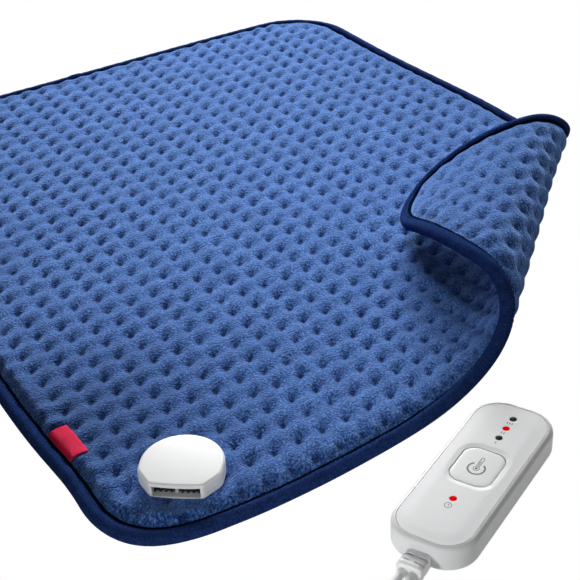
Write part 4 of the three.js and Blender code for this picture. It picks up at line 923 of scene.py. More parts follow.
# %% Where the plush is held down
MARGIN_INSET = 10.2 * MM
SHOULDER = 6.5 * MM
EDGE_FOLD_REACH = 26 * MM
EDGE_FOLD_PITCH = 13.7 * MM
SOCKET_AT = np.array([-193.7, -262]) * MM
SOCKET_RADIUS = 24.9 * MM
SOCKET_EASE = 5 * MM
LABEL_AT = np.array([-236.7, -196.5]) * MM
LABEL_BED = (13 * MM, 31 * MM, 1 * MM)  # width, length and corner radius
LABEL_EASE = 3 * MM


def shoulder(flat):
    """From 0 under the tape to 1 where the plush has its full height."""
    return ease((inset_of(flat) - MARGIN_INSET) / SHOULDER)


def pressed(flat):
    """1 under the socket and the label, 0 away from them."""
    socket = 1 - ease((np.hypot(*(flat - SOCKET_AT).T) - SOCKET_RADIUS) / SOCKET_EASE)
    label = 1 - ease(beyond(flat - LABEL_AT, *LABEL_BED) / LABEL_EASE)
    return np.maximum(socket, label)


def edge_folds(flat):
    """Folds that run in from the tape, about -1 to 1 beside it and 0 away from it."""
    near = ease(1 - (inset_of(flat) - MARGIN_INSET) / EDGE_FOLD_REACH)
    border = past_corner(flat)
    share = border / (border.sum(axis=1, keepdims=True) + SAME_POINT)
    turn = 2 * math.pi * flat[:, ::-1] / EDGE_FOLD_PITCH
    return near * (share * (np.sin(turn) + np.sin(0.61 * turn + 1.3)) / 2).sum(axis=1)


print("socket at", SOCKET_AT, "and label at", LABEL_AT)

# %% [markdown]
# A height is how far the cloth lies above the underside of the flat pad. A displace modifier
# could push the covers up, but it would push the hidden sides too. So every side has a function
# of its own. The underside is flat on the floor and swells where the roll has lifted it.

# %% Heights of the covers
MARGIN_TOP = 5 * MM
MARGIN_LOW = 1.3 * MM
PLUSH_TOP = 8.7 * MM
PLUSH_RISE = 1.1 * MM
PLUSH_SWELL = 0.9 * MM
TUFT_SINK = 4.3 * MM
UNDER_SINK = 2.1 * MM
UNDER_LIFTED_SINK = 3.6 * MM
UNDER_RISE = 1.4 * MM
UNDER_SWELL = 1.0 * MM
EDGE_FOLD = 0.7 * MM
UPPER_INSIDE = 5.0 * MM
INSIDE_RIM = 2.9 * MM
INSIDE_EASE = 5 * MM
LOWER_INSIDE = 2.6 * MM


def upper_height(flat):
    sink, swell = tufts(flat)
    loose = PLUSH_RISE + PLUSH_SWELL * swell + EDGE_FOLD * edge_folds(flat)
    full = PLUSH_TOP + loose * (1 - pressed(flat)) - TUFT_SINK * sink
    return MARGIN_TOP + (full - MARGIN_TOP) * shoulder(flat)


def upper_inside(flat):
    full = ease((inset_of(flat) - MARGIN_INSET) / INSIDE_EASE)
    return INSIDE_RIM + (UPPER_INSIDE - INSIDE_RIM) * full


def lower_height(flat):
    sink, swell = tufts(flat)
    loose = UNDER_RISE + UNDER_SWELL * swell + EDGE_FOLD * edge_folds(flat)
    free = lifted(flat)
    full = (UNDER_SINK + (UNDER_LIFTED_SINK - UNDER_SINK) * free) * sink - loose * free
    return MARGIN_LOW + (full - MARGIN_LOW) * shoulder(flat)


def lower_inside(flat):
    return np.full(len(flat), LOWER_INSIDE)


print(f"tufts up to {TUFT_SINK:.4f} m deep")

# %% [markdown]
# A cover is a closed body with a shown and a hidden side. Both could have the fine grid, but the
# hidden side would only make the file heavy. So that side is coarse, and a strip of triangles
# joins the two rims.

# %% Covers
COVER_INSET = 1.5 * MM
FINE_STEP = TUFT_PITCH / 9
COARSE_STEP = TUFT_PITCH / 2


def cover_grid(step):
    """Flat points, quads and the rim in order, trimmed to the pad's outline."""
    size = np.array([PAD_WIDTH, PAD_LENGTH]) / 2
    first = np.floor((-size - TUFT_AT) / step).astype(int)
    last = np.ceil((size - TUFT_AT) / step).astype(int)
    columns, lines = (
        np.arange(a, b + 1) * step + at for a, b, at in zip(first, last, TUFT_AT)
    )
    flat = np.stack(np.meshgrid(columns, lines, indexing="ij"), axis=-1).reshape(-1, 2)
    row = len(lines)
    corner = (np.arange(len(columns) - 1)[:, None] * row + np.arange(row - 1)).ravel()
    quads = np.column_stack([corner, corner + row, corner + row + 1, corner + 1])
    quads = quads[inset_of(flat[quads].mean(axis=1)) > COVER_INSET]
    used, quads = np.unique(quads, return_inverse=True)
    flat, quads = flat[used], quads.reshape(-1, 4)
    edges = np.sort(np.concatenate([quads[:, [k, (k + 1) % 4]] for k in range(4)]), axis=1)
    pairs, uses = np.unique(edges, axis=0, return_counts=True)
    rim = np.unique(pairs[uses == 1])
    flat[rim] += edge_normal(flat[rim]) * (inset_of(flat[rim]) - COVER_INSET)[:, None]
    return flat, quads, rim[np.argsort(np.arctan2(flat[rim, 1], flat[rim, 0]))]


def zip_rims(near, far, near_angles, far_angles):
    """Triangles between two closed lines of points, both in order of their angle."""
    near_next = np.append(near_angles[1:], near_angles[0] + 2 * math.pi)
    far_next = np.append(far_angles[1:], far_angles[0] + 2 * math.pi)
    faces = []
    i = j = 0
    while i < len(near) or j < len(far):
        a, b = near[i % len(near)], far[j % len(far)]
        if j == len(far) or (i < len(near) and near_next[i] <= far_next[j]):
            i += 1
            faces.append((a, near[i % len(near)], b))
        else:
            j += 1
            faces.append((a, far[j % len(far)], b))
    return faces


def store_cloth(piece, flat):
    """Keeps each point's place on the flat cloth, in metres, for the weave."""
    corners = np.empty(len(piece.data.loops), dtype=np.int32)
    piece.data.loops.foreach_get("vertex_index", corners)
    layer = piece.data.uv_layers.new(name="cloth")
    layer.uv.foreach_set("vector", flat[corners].astype(np.float32).ravel())


def cover_piece(name, outer, inner):
    fine, fine_quads, fine_rim = cover_grid(FINE_STEP)
    coarse, coarse_quads, coarse_rim = cover_grid(COARSE_STEP)
    rims = fine[fine_rim], coarse[coarse_rim]
    angles = [np.arctan2(flat[:, 1], flat[:, 0]) for flat in rims]
    wall = zip_rims(fine_rim, coarse_rim + len(fine), *angles)
    points = np.concatenate([lay_out(fine, outer(fine)), lay_out(coarse, inner(coarse))])
    faces = fine_quads.tolist() + (coarse_quads + len(fine)).tolist() + wall
    piece = make_piece(name, (points, faces), plush_cloth, sharp_from=75)
    store_cloth(piece, np.concatenate([fine, coarse]))
    return piece


top_cover = cover_piece("plush_top", upper_height, upper_inside)
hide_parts("pad_top_cover")
under_cover = cover_piece("plush_underside", lower_height, lower_inside)
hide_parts("pad_bottom_cover")
print("covers:", [len(piece.data.polygons) for piece in (top_cover, under_cover)], "faces")

# %% [markdown]
# ## Edge tape
#
# A tape is folded over the rim of the pad and sewn through. A bevelled curve could make it,
# but it would have one round section all over. So the section is a list of points that is
# carried round the outline. Its crown puckers a little from stitch to stitch, its inner edge
# wanders, and where its ends lap it is thicker.

# %% Tape
TAPE_SECTION = np.array([
    # inset, height, pucker, wander and bulge; the low hem beside the plush comes first
    (10.8, 5.1, 0.0, 0.6, 0.0),
    (10.8, 5.45, 0.0, 0.6, 0.0),
    (8.6, 5.45, 0.0, 1.0, 0.0),
    (8.35, 5.9, 0.3, 1.0, 0.0),
    (8.0, 6.6, 0.5, 0.9, 0.0),
    (7.2, 7.25, 0.7, 0.5, 0.0),
    (6.2, 7.65, 0.9, 0.2, 0.0),
    (4.9, 7.9, 1.0, 0.0, 0.0),
    (3.5, 7.7, 1.0, 0.0, 0.0),
    (2.1, 7.0, 0.9, 0.0, 0.0),
    (1.0, 6.0, 0.7, 0.0, 0.0),
    (0.25, 4.8, 0.5, 0.0, 0.0),
    (0.0, 3.4, 0.3, 0.0, 0.1),
    (0.3, 1.9, 0.2, 0.0, 0.3),
    (1.2, 0.7, 0.0, 0.0, 0.7),
    (2.8, 0.1, 0.0, 0.0, 1.0),
    (4.6, 0.0, 0.0, 0.0, 1.1),
    (6.8, 0.0, 0.0, 0.2, 1.0),
    (8.1, 0.1, 0.0, 0.9, 0.7),
    (8.5, 0.4, 0.0, 1.0, 0.4),
    (8.6, 0.75, 0.0, 1.0, 0.0),
    (10.8, 0.75, 0.0, 0.6, 0.0),
    (10.8, 1.05, 0.0, 0.6, 0.0),
    (6.0, 1.05, 0.0, 0.0, 0.0),
    (1.25, 1.2, 0.0, 0.0, 0.0),
    (1.2, 3.2, 0.0, 0.0, 0.0),
    (1.3, 5.05, 0.0, 0.0, 0.0),
    (6.0, 5.1, 0.0, 0.0, 0.0),
])
LAST_HEM_ROW = 22
BULGE = 1.5 * MM
PUCKER = 0.22 * MM
WANDER = 0.45 * MM
LAP = 0.8 * MM
LAP_LENGTH = 15 * MM
LAP_RISE = 1.5 * MM
LAP_FALL = 6 * MM
PUCKER_WAVES = (7.1 * MM, 11.3 * MM, 23 * MM)
WANDER_WAVES = (17 * MM, 41 * MM, 83 * MM)
LAPS = ((-254 * MM, -214 * MM), (-6 * MM, 305 * MM))  # where the tape's ends lap

edge = rounded_outline(PAD_WIDTH, PAD_LENGTH, PAD_CORNER, corner_steps=36, side_steps=160)
edge_out = edge_normal(edge)
edge_run = run_along(edge)


def ripple(run, lengths, phase):
    """A wavy line of a few wavelengths, between about -1 and 1."""
    waves = [
        np.sin(2 * math.pi * run / length + phase * k) for k, length in enumerate(lengths, 1)
    ]
    return sum(waves) / len(lengths)


def lap_at(run):
    """1 on the stretches where the tape lies double."""
    double = np.zeros(len(run))
    for spot in LAPS:
        start = edge_run[np.argmin(np.linalg.norm(edge - spot, axis=1))]
        begun = ease((run - start) / LAP_RISE)
        to_go = ease((start + LAP_LENGTH - run) / LAP_FALL)
        double = np.maximum(double, begun * to_go)
    return double


def tape_piece():
    inset, height, pucker, wander, bulge = TAPE_SECTION.T
    waves = ripple(edge_run, PUCKER_WAVES, 1.7)
    drift = ripple(edge_run, WANDER_WAVES, 0.6)
    lap = lap_at(edge_run)
    insets = inset * MM + np.outer(drift, wander) * WANDER
    heights = height * MM + np.outer(waves, pucker) * PUCKER + np.outer(lap, pucker) * LAP
    heights -= np.outer(lifted(edge), bulge) * BULGE
    flat = edge[:, None, :] - edge_out[:, None, :] * insets[:, :, None]
    points = lay_out(flat.reshape(-1, 2), heights.ravel()).reshape(*insets.shape, 3)
    piece = make_piece("edge_tape", loft(list(points), closed=True), tape_cloth, sharp_from=60)
    girth = run_along(TAPE_SECTION[:, :2]) * MM
    from_hem = np.minimum(girth, girth[LAST_HEM_ROW] - girth)
    cloth = np.stack(np.broadcast_arrays(edge_run[:, None], from_hem), axis=-1).reshape(-1, 2)
    store_cloth(piece, cloth)
    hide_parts("pad_edge_binding")
    return piece


tape = tape_piece()
print("tape", round(edge_run[-1], 3), "m round")

# %% [markdown]
# The stitches are short lengths of thread, pulled into the tape at both ends. A bump could
# draw them, but they are seen in profile along the roll. So each is a small spindle, and all
# the spindles of one side are one piece.

# %% Stitches
STITCH = 3.4 * MM
STITCH_INSET = 7.1 * MM
STITCH_SIDES = 6
STITCH_FORM = np.array([
    # place along the stitch, thickness and sink
    (-0.40, 0.04, 0.25),
    (-0.36, 0.16, 0.12),
    (-0.20, 0.24, 0.02),
    (0.00, 0.27, 0.00),
    (0.20, 0.24, 0.02),
    (0.36, 0.16, 0.12),
    (0.40, 0.04, 0.25),
]) * (STITCH, MM, MM)


def stitch_piece(name, height, facing):
    """Short spindles of thread along the upper or lower side of the tape, sunk at their ends."""
    spots = np.arange(0, edge_run[-1], STITCH) + STITCH / 2
    middle = points_at(spots, edge_run, edge)
    out = edge_normal(middle)
    ahead = left_of(out)
    reach, thick, sink = STITCH_FORM.T
    turn = np.arange(STITCH_SIDES) * 2 * math.pi / STITCH_SIDES
    side = STITCH_INSET + np.outer(thick, np.cos(turn))
    rise = height + np.outer(thick, np.sin(turn)) - facing * sink[:, None]
    along = np.broadcast_to(reach[:, None], side.shape)
    flat = (
        middle[:, None, None, :]
        + ahead[:, None, None, :] * along[None, :, :, None]
        - out[:, None, None, :] * side[None, :, :, None]
    )
    heights = np.repeat(rise[None], len(spots), axis=0)
    if facing < 0:
        heights -= BULGE * lifted(middle)[:, None, None]
    points = lay_out(flat.reshape(-1, 2), heights.ravel())
    one, faces = loft(list(np.zeros((*side.shape, 3))))
    starts = np.arange(len(spots)) * len(one)
    every = [[start + index for index in face] for start in starts for face in faces]
    piece = make_piece(name, (points, every), thread)
    return piece


for name, height, facing in (("top", 7.3 * MM, 1), ("under", 0.0, -1)):
    stitches = stitch_piece("tape_stitches_" + name, height, facing)
    print(stitches.name, len(stitches.data.polygons), "faces")

# %% [markdown]
# ## Side label
#
# The label is a satin strip, folded once and sewn in behind the tape. A cloth simulation
# would move it by less than its own thickness, so the fold is drawn as a path and given a
# thickness. It lies on the plush with a slight wave, and it is left bare.

# %% Side label
LABEL_LENGTH = 29.5 * MM
LABEL_LAYER = 0.32 * MM
LABEL_FOLD = [
    # inset, height, from the foot of the upper layer to the foot of the lower one
    (10.8, 6.3),
    (11.3, 7.4),
    (12.2, 8.6),
    (13.4, 9.3),
    (15.2, 9.75),
    (17.6, 9.9),
    (20.0, 9.85),
    (22.2, 9.7),
    (22.95, 9.55),
    (23.1, 9.37),
    (22.9, 9.2),
    (22.0, 9.15),
    (20.0, 9.25),
    (17.6, 9.3),
    (15.4, 9.1),
    (13.8, 8.6),
    (12.7, 7.9),
    (11.8, 6.9),
    (11.2, 6.0),
]


def thickened(path, half):
    """A closed outline that runs along both sides of a path."""
    way = np.gradient(path, axis=0)
    side = left_of(way) * half
    return np.concatenate([path + side, (path - side)[::-1]])


def label_piece():
    outline = thickened(np.array(LABEL_FOLD) * MM, LABEL_LAYER / 2)
    lift = (outline[:, 0] - outline[:, 0].min()) / np.ptp(outline[:, 0])
    reach = np.linspace(-0.5, 0.5, 31)
    rings = []
    for share in reach:
        wave = 0.28 * math.sin(5.2 * share + 0.6) + 0.10 * math.sin(13 * share)
        slip = 0.25 * math.sin(3.1 * share + 1.1)
        flat = np.column_stack([
            outline[:, 0] + slip * lift * MM - PAD_WIDTH / 2,
            np.full(len(outline), LABEL_AT[1] + share * LABEL_LENGTH),
        ])
        rings.append(lay_out(flat, outline[:, 1] + np.maximum(wave, -0.12) * lift * MM))
    piece = make_piece("label_strip", loft(rings), label_cloth, sharp_from=60)
    run = run_along(outline)
    cloth = np.stack(np.broadcast_arrays(reach[:, None] * LABEL_LENGTH, run), axis=-1)
    store_cloth(piece, cloth.reshape(-1, 2))
    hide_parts("side_label")
    return piece


label_piece()
print("label", LABEL_LENGTH, "m long")

# %% [markdown]
# ## Socket on the pad
#
# The socket is a white two-part moulding, round at the back and open at the front. Its
# outline is drawn once, with round corners and a slightly bowed front, and every ring of
# the lofts follows it. The hollow and the mouth are cut out afterwards, because a boolean
# keeps their inner corners crisp, as in the real moulding.

# %% Socket outline
SOCKET_HEADING = math.radians(231.5)
SOCKET_STRAIGHT = 9 * MM
SOCKET_FRONT = 20.5 * MM
SOCKET_NOSE = 15.8 * MM
SOCKET_BOW = 1.0 * MM
SOCKET_STEPS = 180
SHOULDER_ROUND = 9 * MM
NOSE_ROUND = 2.2 * MM


def rounded_corner(before, corner, after, radius, steps=8):
    """Points of an arc that replaces a corner."""
    back = (before - corner) / np.linalg.norm(before - corner)
    on = (after - corner) / np.linalg.norm(after - corner)
    half = math.acos(np.clip(back @ on, -1, 1)) / 2
    middle = corner + (back + on) / np.linalg.norm(back + on) * radius / math.sin(half)
    first = corner + back * radius / math.tan(half) - middle
    last = corner + on * radius / math.tan(half) - middle
    start = math.atan2(first[1], first[0])
    sweep = (math.atan2(last[1], last[0]) - start + math.pi) % (2 * math.pi) - math.pi
    angles = start + np.linspace(0, 1, steps + 1) * sweep
    return on_circle(angles, radius, middle)


def socket_edge():
    """The outline, evenly stepped, and the way out at each of its points."""
    angles = np.linspace(0.5, 1.5, 49) * math.pi
    corners = np.array([
        (0, -SOCKET_RADIUS),
        (SOCKET_STRAIGHT, -SOCKET_RADIUS),
        (SOCKET_FRONT, -SOCKET_NOSE),
        (SOCKET_FRONT, SOCKET_NOSE),
        (SOCKET_STRAIGHT, SOCKET_RADIUS),
        (0, SOCKET_RADIUS),
    ])
    points = [on_circle(angles, SOCKET_RADIUS)]
    for k, radius in enumerate((SHOULDER_ROUND, NOSE_ROUND, NOSE_ROUND, SHOULDER_ROUND)):
        points.append(rounded_corner(corners[k], corners[k + 1], corners[k + 2], radius))
    points = np.concatenate(points)
    run = run_along(points)
    points = points_at(np.linspace(0, run[-1], SOCKET_STEPS), run, points)[:-1]
    front = np.clip((points[:, 0] - SOCKET_STRAIGHT) / (SOCKET_FRONT - SOCKET_STRAIGHT), 0, 1)
    points[:, 0] += SOCKET_BOW * front * np.clip(1 - (points[:, 1] / SOCKET_NOSE) ** 2, 0, 1)
    way = np.roll(points, -1, axis=0) - np.roll(points, 1, axis=0)
    return points, -left_of(way)


socket_points, socket_out = socket_edge()


def socket_rings(*stations):
    """Rings at pairs of inset and height."""
    return [level(socket_points - socket_out * inset, height) for inset, height in stations]


def block(low, high):
    """The rings of an upright box between two corners."""
    (x, y, z), (far_x, far_y, far_z) = low, high
    ring = np.array([(x, y), (far_x, y), (far_x, far_y), (x, far_y)])
    return [level(ring, z), level(ring, far_z)]


def slab(half, *stations):
    """Rings of a slab across the socket: its place, underside and top at each station."""
    rings = []
    for x, low, high in stations:
        corners = [(x, -half), (x, half), (x, half), (x, -half)]
        rings.append(level(corners, (low, low, high, high)))
    return rings


def in_socket(rings):
    return loft([placed(ring, SOCKET_AT + pad_at, SOCKET_HEADING) for ring in rings])


print(len(socket_points), "points round the socket")

# %% [markdown]
# The upper part of the socket stands on the lower one with a gap of 0.3 mm. One body with a
# drawn line could stand for both, but a real gap keeps its dark line from every side. So they
# are two shells, and two bosses inside the lower one take the rivets.

# %% Socket shells
SOCKET_WALL = 1.8 * MM
SOCKET_LOW = 9 * MM
SOCKET_FLOOR = 10.5 * MM
SOCKET_SEAM = 12 * MM
SOCKET_TOP = 19 * MM
SOCKET_EDGE = 2.0 * MM
MOUTH_WIDTH = 28 * MM
MOUTH_TOP = 16.7 * MM
RIVETS = [(-14 * MM, 9 * MM), (-14 * MM, -9 * MM)]
RIVET_BOSS = 2.8 * MM
RIVET_BORE = 1.5 * MM
BOSS_LOW = 9.5 * MM
BOSS_TOP = 14.2 * MM
BORE_LOW = 8 * MM
BORE_TOP = 13.6 * MM
COVER_LOW = 12.3 * MM
COVER_CEILING = 17.2 * MM
BASE_OPEN = 14 * MM  # the base is cut open up to here, which is above its seam
BREAK_EDGE = 0.25 * MM
MOUTH_BACK = 16.9 * MM
MOUTH_FRONT = 24 * MM
RAMP_BACK = 12 * MM
RAMP_LOW = 9.0 * MM
FINE_EDGE = 0.2 * MM

mouth = block(
    (MOUTH_BACK, -MOUTH_WIDTH / 2, SOCKET_FLOOR), (MOUTH_FRONT, MOUTH_WIDTH / 2, MOUTH_TOP)
)
rim = [(inset, SOCKET_TOP - fall) for inset, fall in reversed(quarter_round(SOCKET_EDGE))]
cover_shape = socket_rings((BREAK_EDGE, COVER_LOW), (0, COVER_LOW + FINE_EDGE), *rim)
socket_cover = make_piece("socket_cover", in_socket(cover_shape), lit_socket_white)
cover_hollow = socket_rings((SOCKET_WALL, SOCKET_LOW), (SOCKET_WALL, COVER_CEILING))
carve(socket_cover, [in_socket(cover_hollow), in_socket(mouth)])
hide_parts("connector_cover")

base_shape = socket_rings(
    (0.9 * MM, SOCKET_LOW),
    (0.3 * MM, SOCKET_LOW + BREAK_EDGE),
    (0, SOCKET_LOW + 0.8 * MM),
    (0, SOCKET_SEAM - FINE_EDGE),
    (BREAK_EDGE, SOCKET_SEAM),
)
socket_base = make_piece("socket_base", in_socket(base_shape), lit_socket_white)
base_hollow = socket_rings((SOCKET_WALL, SOCKET_FLOOR), (SOCKET_WALL, BASE_OPEN))
ramp = slab(
    MOUTH_WIDTH / 2, (RAMP_BACK, SOCKET_FLOOR, BASE_OPEN), (MOUTH_FRONT, RAMP_LOW, BASE_OPEN)
)
carve(socket_base, [in_socket(base_hollow), in_socket(mouth), in_socket(ramp)])
bosses = [in_socket(post(x, y, RIVET_BOSS, BOSS_LOW, BOSS_TOP)) for x, y in RIVETS]
carve(socket_base, bosses, "UNION")
carve(socket_base, [in_socket(post(x, y, RIVET_BORE, BORE_LOW, BORE_TOP)) for x, y in RIVETS])
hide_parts("connector_base")
print("socket shells:", [len(piece.data.polygons) for piece in (socket_cover, socket_base)])

# %% [markdown]
# In the mouth of the socket a grey carrier holds the contacts, a rib stops a plug that is the
# wrong way up, and a row of black teeth stands before it. The teeth are a dark piece that stands
# for the dark slots and the shade at the top of the mouth. A painted block could stand for them
# all, but the open mouth shows its depth. So they are real shapes, joined and cut by booleans.

# %% Contacts in the mouth
CONTACT_PLACES = [-9.4 * MM, -4.6 * MM, 4.6 * MM, 9.4 * MM]
CONTACT_SLOT = 0.7 * MM
CONTACT_LOW = 12.2 * MM
CONTACT_TOP = 15.4 * MM
INSERT_BACK = 1.7 * MM
INSERT_FRONT = 6.7 * MM
INSERT_LOW = 10.8 * MM
INSERT_TOP = 16.8 * MM
INSERT_HALF = 16 * MM
RIB = 0.9 * MM
RIB_FRONT = 18.2 * MM
RIB_TOP = 16.5 * MM
TONGUE_FRONT = 20.6 * MM
TONGUE_HALF = 13.6 * MM
TONGUE_THICK = 0.35 * MM
TONGUE_TIP = 9.75 * MM
COMB_BACK = 11 * MM
COMB_FRONT = 16.6 * MM
COMB_REACH = 1.3 * MM
COMB_TOP = 12.0 * MM
COMB_PITCH = 3.2 * MM
COMB_TOOTH = 1.4 * MM

carrier = block((INSERT_BACK, -INSERT_HALF, INSERT_LOW), (INSERT_FRONT, INSERT_HALF, INSERT_TOP))
socket_insert = make_piece("socket_insert", in_socket(carrier), insert_grey)
tongue = slab(
    TONGUE_HALF,
    (INSERT_BACK, INSERT_LOW, INSERT_LOW + TONGUE_THICK),
    (RAMP_BACK, INSERT_LOW, INSERT_LOW + TONGUE_THICK),
    (TONGUE_FRONT, TONGUE_TIP, TONGUE_TIP + TONGUE_THICK),
)
rib = block((INSERT_BACK, -RIB, INSERT_LOW), (RIB_FRONT, RIB, RIB_TOP))
carve(socket_insert, [in_socket(tongue), in_socket(rib)], "UNION")
slots = []
for y in CONTACT_PLACES:
    far = (INSERT_FRONT + 1 * MM, y + CONTACT_SLOT, CONTACT_TOP)
    slots.append(in_socket(block((0, y - CONTACT_SLOT, CONTACT_LOW), far)))
carve(socket_insert, slots)
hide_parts("connector_insert")

# a dark piece that stands for the dark slots and the shade at the top of the mouth
shade_comb_bar = block((COMB_BACK, -TONGUE_HALF, INSERT_LOW), (COMB_FRONT, TONGUE_HALF, COMB_TOP))
shade_comb = make_piece("socket_shade_comb", in_socket(shade_comb_bar), part_black)
teeth = []
for y in np.arange(-4, 5) * COMB_PITCH:
    far = (COMB_FRONT + COMB_REACH, y + COMB_TOOTH / 2, COMB_TOP)
    teeth.append(in_socket(block((COMB_BACK, y - COMB_TOOTH / 2, INSERT_LOW), far)))
carve(shade_comb, teeth, "UNION")

socket_slots = {
    socket_cover: "shell_white",
    socket_base: "shell_white",
    socket_insert: "insert_grey",
}
for piece, slot in socket_slots.items():
    ease_edges(piece, FINE_EDGE)
print("carrier and", len(teeth), "teeth")

# %% [markdown]
# ## Hand control
#
# The control is two white shells with round edges. The seam between them runs just inside
# the upper edge. A bevelled box could make a shell, but light breaks where its bevels meet.
# So each shell is a loft of closed rings, and light runs smoothly round its corners. Bosses
# for the screws and ribs for the circuit board are joined to the lower one.

# %% Lower shell
HANDSET = (133 * MM, 51 * MM, 19 * MM)  # length, width and corner radius
HANDSET_TOP = 17 * MM
CROWN = 0.3 * MM
EDGE_ROUND = 3.2 * MM
SEAM_INSET = 3 * MM
WALL = 2 * MM
WALL_TOP = HANDSET_TOP - CROWN - EDGE_ROUND
WALL_FOOT = 2.0 * MM
LEDGE = 13.6 * MM
LIP_SHARES = np.array([0.02, 0.08, 0.18, 0.32, 0.5, 0.7, 0.9])
SCREWS = np.array([(46, 16.5), (46, -16.5), (-46, -16.5), (-46, 16.5)]) * MM
BOARD_RIBS = (-30 * MM, 30 * MM)
BOARD_RIB_HALF = np.array([1, 19.5]) * MM
BOARD_RIB_LOW = 1.5 * MM
BOARD_RIB_TOP = 7.7 * MM
WAY_OUT = (11 * MM, 5.8 * MM, 1.6 * MM)  # width, height and corner radius
WAY_OUT_FROM = -67.5 * MM
WAY_OUT_TO = -63.5 * MM


def handset_ring(inset, height):
    return level(rounded_outline(*HANDSET, inset), height)


def in_handset(rings, closed=False):
    return loft([placed(ring, handset_at, HANDSET_HEADING) for ring in rings], closed)


def at_screws(radius, low, high, sides=24):
    """A round post at each screw, with its sizes in millimetres."""
    return [in_handset(post(x, y, radius * MM, low * MM, high * MM, sides)) for x, y in SCREWS]


def edge_height(inset):
    """The height of the rounded upper edge."""
    fall = 1 - np.minimum(inset, EDGE_ROUND) / EDGE_ROUND
    return WALL_TOP + EDGE_ROUND * np.sqrt(1 - fall**2)


def along_x(rings):
    """Rings that were drawn upright, turned so that their height runs along X."""
    return [ring[:, [2, 0, 1]] + (0, 0, RELIEF_MIDDLE) for ring in rings]


lip = [(inset, edge_height(inset)) for inset in SEAM_INSET * LIP_SHARES]
inner = [
    (SEAM_INSET, edge_height(SEAM_INSET) - 0.2 * MM),
    (SEAM_INSET, LEDGE),
    (WALL, LEDGE - 1 * MM),
    (WALL, WALL_FOOT + 0.8 * MM),
    (WALL + 0.25 * MM, WALL_FOOT + 0.2 * MM),
    (WALL + 0.8 * MM, WALL_FOOT),
]
outer = [*quarter_round(EDGE_ROUND), (0, 8 * MM), (0, WALL_TOP)]
tub_rings = [handset_ring(*station) for station in (*outer, *lip, *inner)]
tub = make_piece("lower_shell", in_handset(tub_rings), shell_white)
posts = at_screws(radius=4, low=1.5, high=6)
ribs = []
for x in BOARD_RIBS:
    low = (*((x, 0) - BOARD_RIB_HALF), BOARD_RIB_LOW)
    ribs.append(in_handset(block(low, (*((x, 0) + BOARD_RIB_HALF), BOARD_RIB_TOP))))
carve(tub, posts + ribs, "UNION")
wells = at_screws(radius=2.9, low=-1, high=2.9, sides=32)
bores = at_screws(radius=1.4, low=0, high=7)
neck = rounded_outline(*WAY_OUT)
way_out = in_handset(along_x([level(neck, WAY_OUT_FROM), level(neck, WAY_OUT_TO)]))
carve(tub, [*wells, *bores, way_out])
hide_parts("handset_tub")
print("lower shell:", len(tub.data.polygons), "faces")

# %% [markdown]
# The upper shell is a thin plate with a slight crown, a hole for the button in a shallow dish,
# and four small holes for the lights. A flat grid could be pushed into shape, but its squares
# would cut across the round edges. So its rings follow the outline at the rim and the button
# in the middle, and those between change from the one to the other.

# %% Upper shell
FACE_INSET = 3.16 * MM
FACE_LOW = 13 * MM
FACE_UNDER = 14.4 * MM
FACE_RIM = 14.6 * MM
FACE_WALL = 4.6 * MM
CROWN_INSET = 12 * MM
BUTTON = (31.5 * MM, 26 * MM, 8 * MM)
BUTTON_AT = 3.4 * MM
SLIDE = 0.25 * MM
DISH_WIDTH = 3.6 * MM
DISH_DEPTH = 0.4 * MM
SKIN_INSETS = np.array([3.42, 3.65, 3.9, 4.3, 5.0, 6.0, 7.2, 8.5, 10, 12]) * MM
DISH_SHARES = (1.1, 0.95, 0.8, 0.65, 0.5, 0.35, 0.2, 0.1, 0.03)
LIGHTS = {
    "led_high": 51.5 * MM,
    "led_medium": 41.7 * MM,
    "led_low": 31.9 * MM,
    "led_timer": -27.4 * MM,
}
LIGHT_HOLE = 2.25 * MM


def button_ring(spread):
    length, width, radius = BUTTON
    outline = rounded_outline(length + 2 * spread, width + 2 * spread, radius + spread)
    return outline + (BUTTON_AT, 0)


def face_height(flat):
    """The crowned face with its dish round the button."""
    inset = -beyond(flat, *HANDSET)
    crown = CROWN * ease((inset - EDGE_ROUND) / (CROWN_INSET - EDGE_ROUND))
    from_button = beyond(flat - (BUTTON_AT, 0), *BUTTON) - SLIDE
    dish = DISH_DEPTH * (1 - ease(from_button / DISH_WIDTH))
    return edge_height(inset) + crown - dish


skin = [rounded_outline(*HANDSET, inset) for inset in SKIN_INSETS]
dish = [button_ring(SLIDE + DISH_WIDTH * share) for share in DISH_SHARES]
between = [skin[-1] * (1 - share) + dish[0] * share for share in (0.2, 0.4, 0.6, 0.8)]
face_rings = [
    handset_ring(FACE_INSET, FACE_LOW),
    handset_ring(FACE_INSET, FACE_RIM),
    handset_ring(FACE_INSET, edge_height(FACE_INSET) - 0.15 * MM),
    *[level(outline, face_height(outline)) for outline in (*skin, *between, *dish)],
    level(button_ring(SLIDE), HANDSET_TOP - DISH_DEPTH - 0.2 * MM),
    level(button_ring(SLIDE), FACE_UNDER),
    level(button_ring(SLIDE + DISH_WIDTH), FACE_UNDER),
    handset_ring(CROWN_INSET, FACE_UNDER),
    handset_ring(FACE_WALL, FACE_UNDER),
    handset_ring(FACE_WALL, FACE_LOW),
]
face = make_piece("upper_shell", in_handset(face_rings, closed=True), shell_white)
holes = [in_handset(post(x, 0, LIGHT_HOLE, 10 * MM, 20 * MM, 40)) for x in LIGHTS.values()]
carve(face, holes)
carve(face, at_screws(radius=3, low=6.3, high=15), "UNION")
carve(face, at_screws(radius=1.4, low=5, high=12.6))
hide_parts("handset_face")
print("upper shell:", len(face.data.polygons), "faces")

# %% [markdown]
# The button is a low pillow that slides in the dish and is kept in by a lip below. A cube with
# a bevel could make it, but its top would be flat to the edge. So it is a loft whose rings
# lie closer where the edge is rounder.

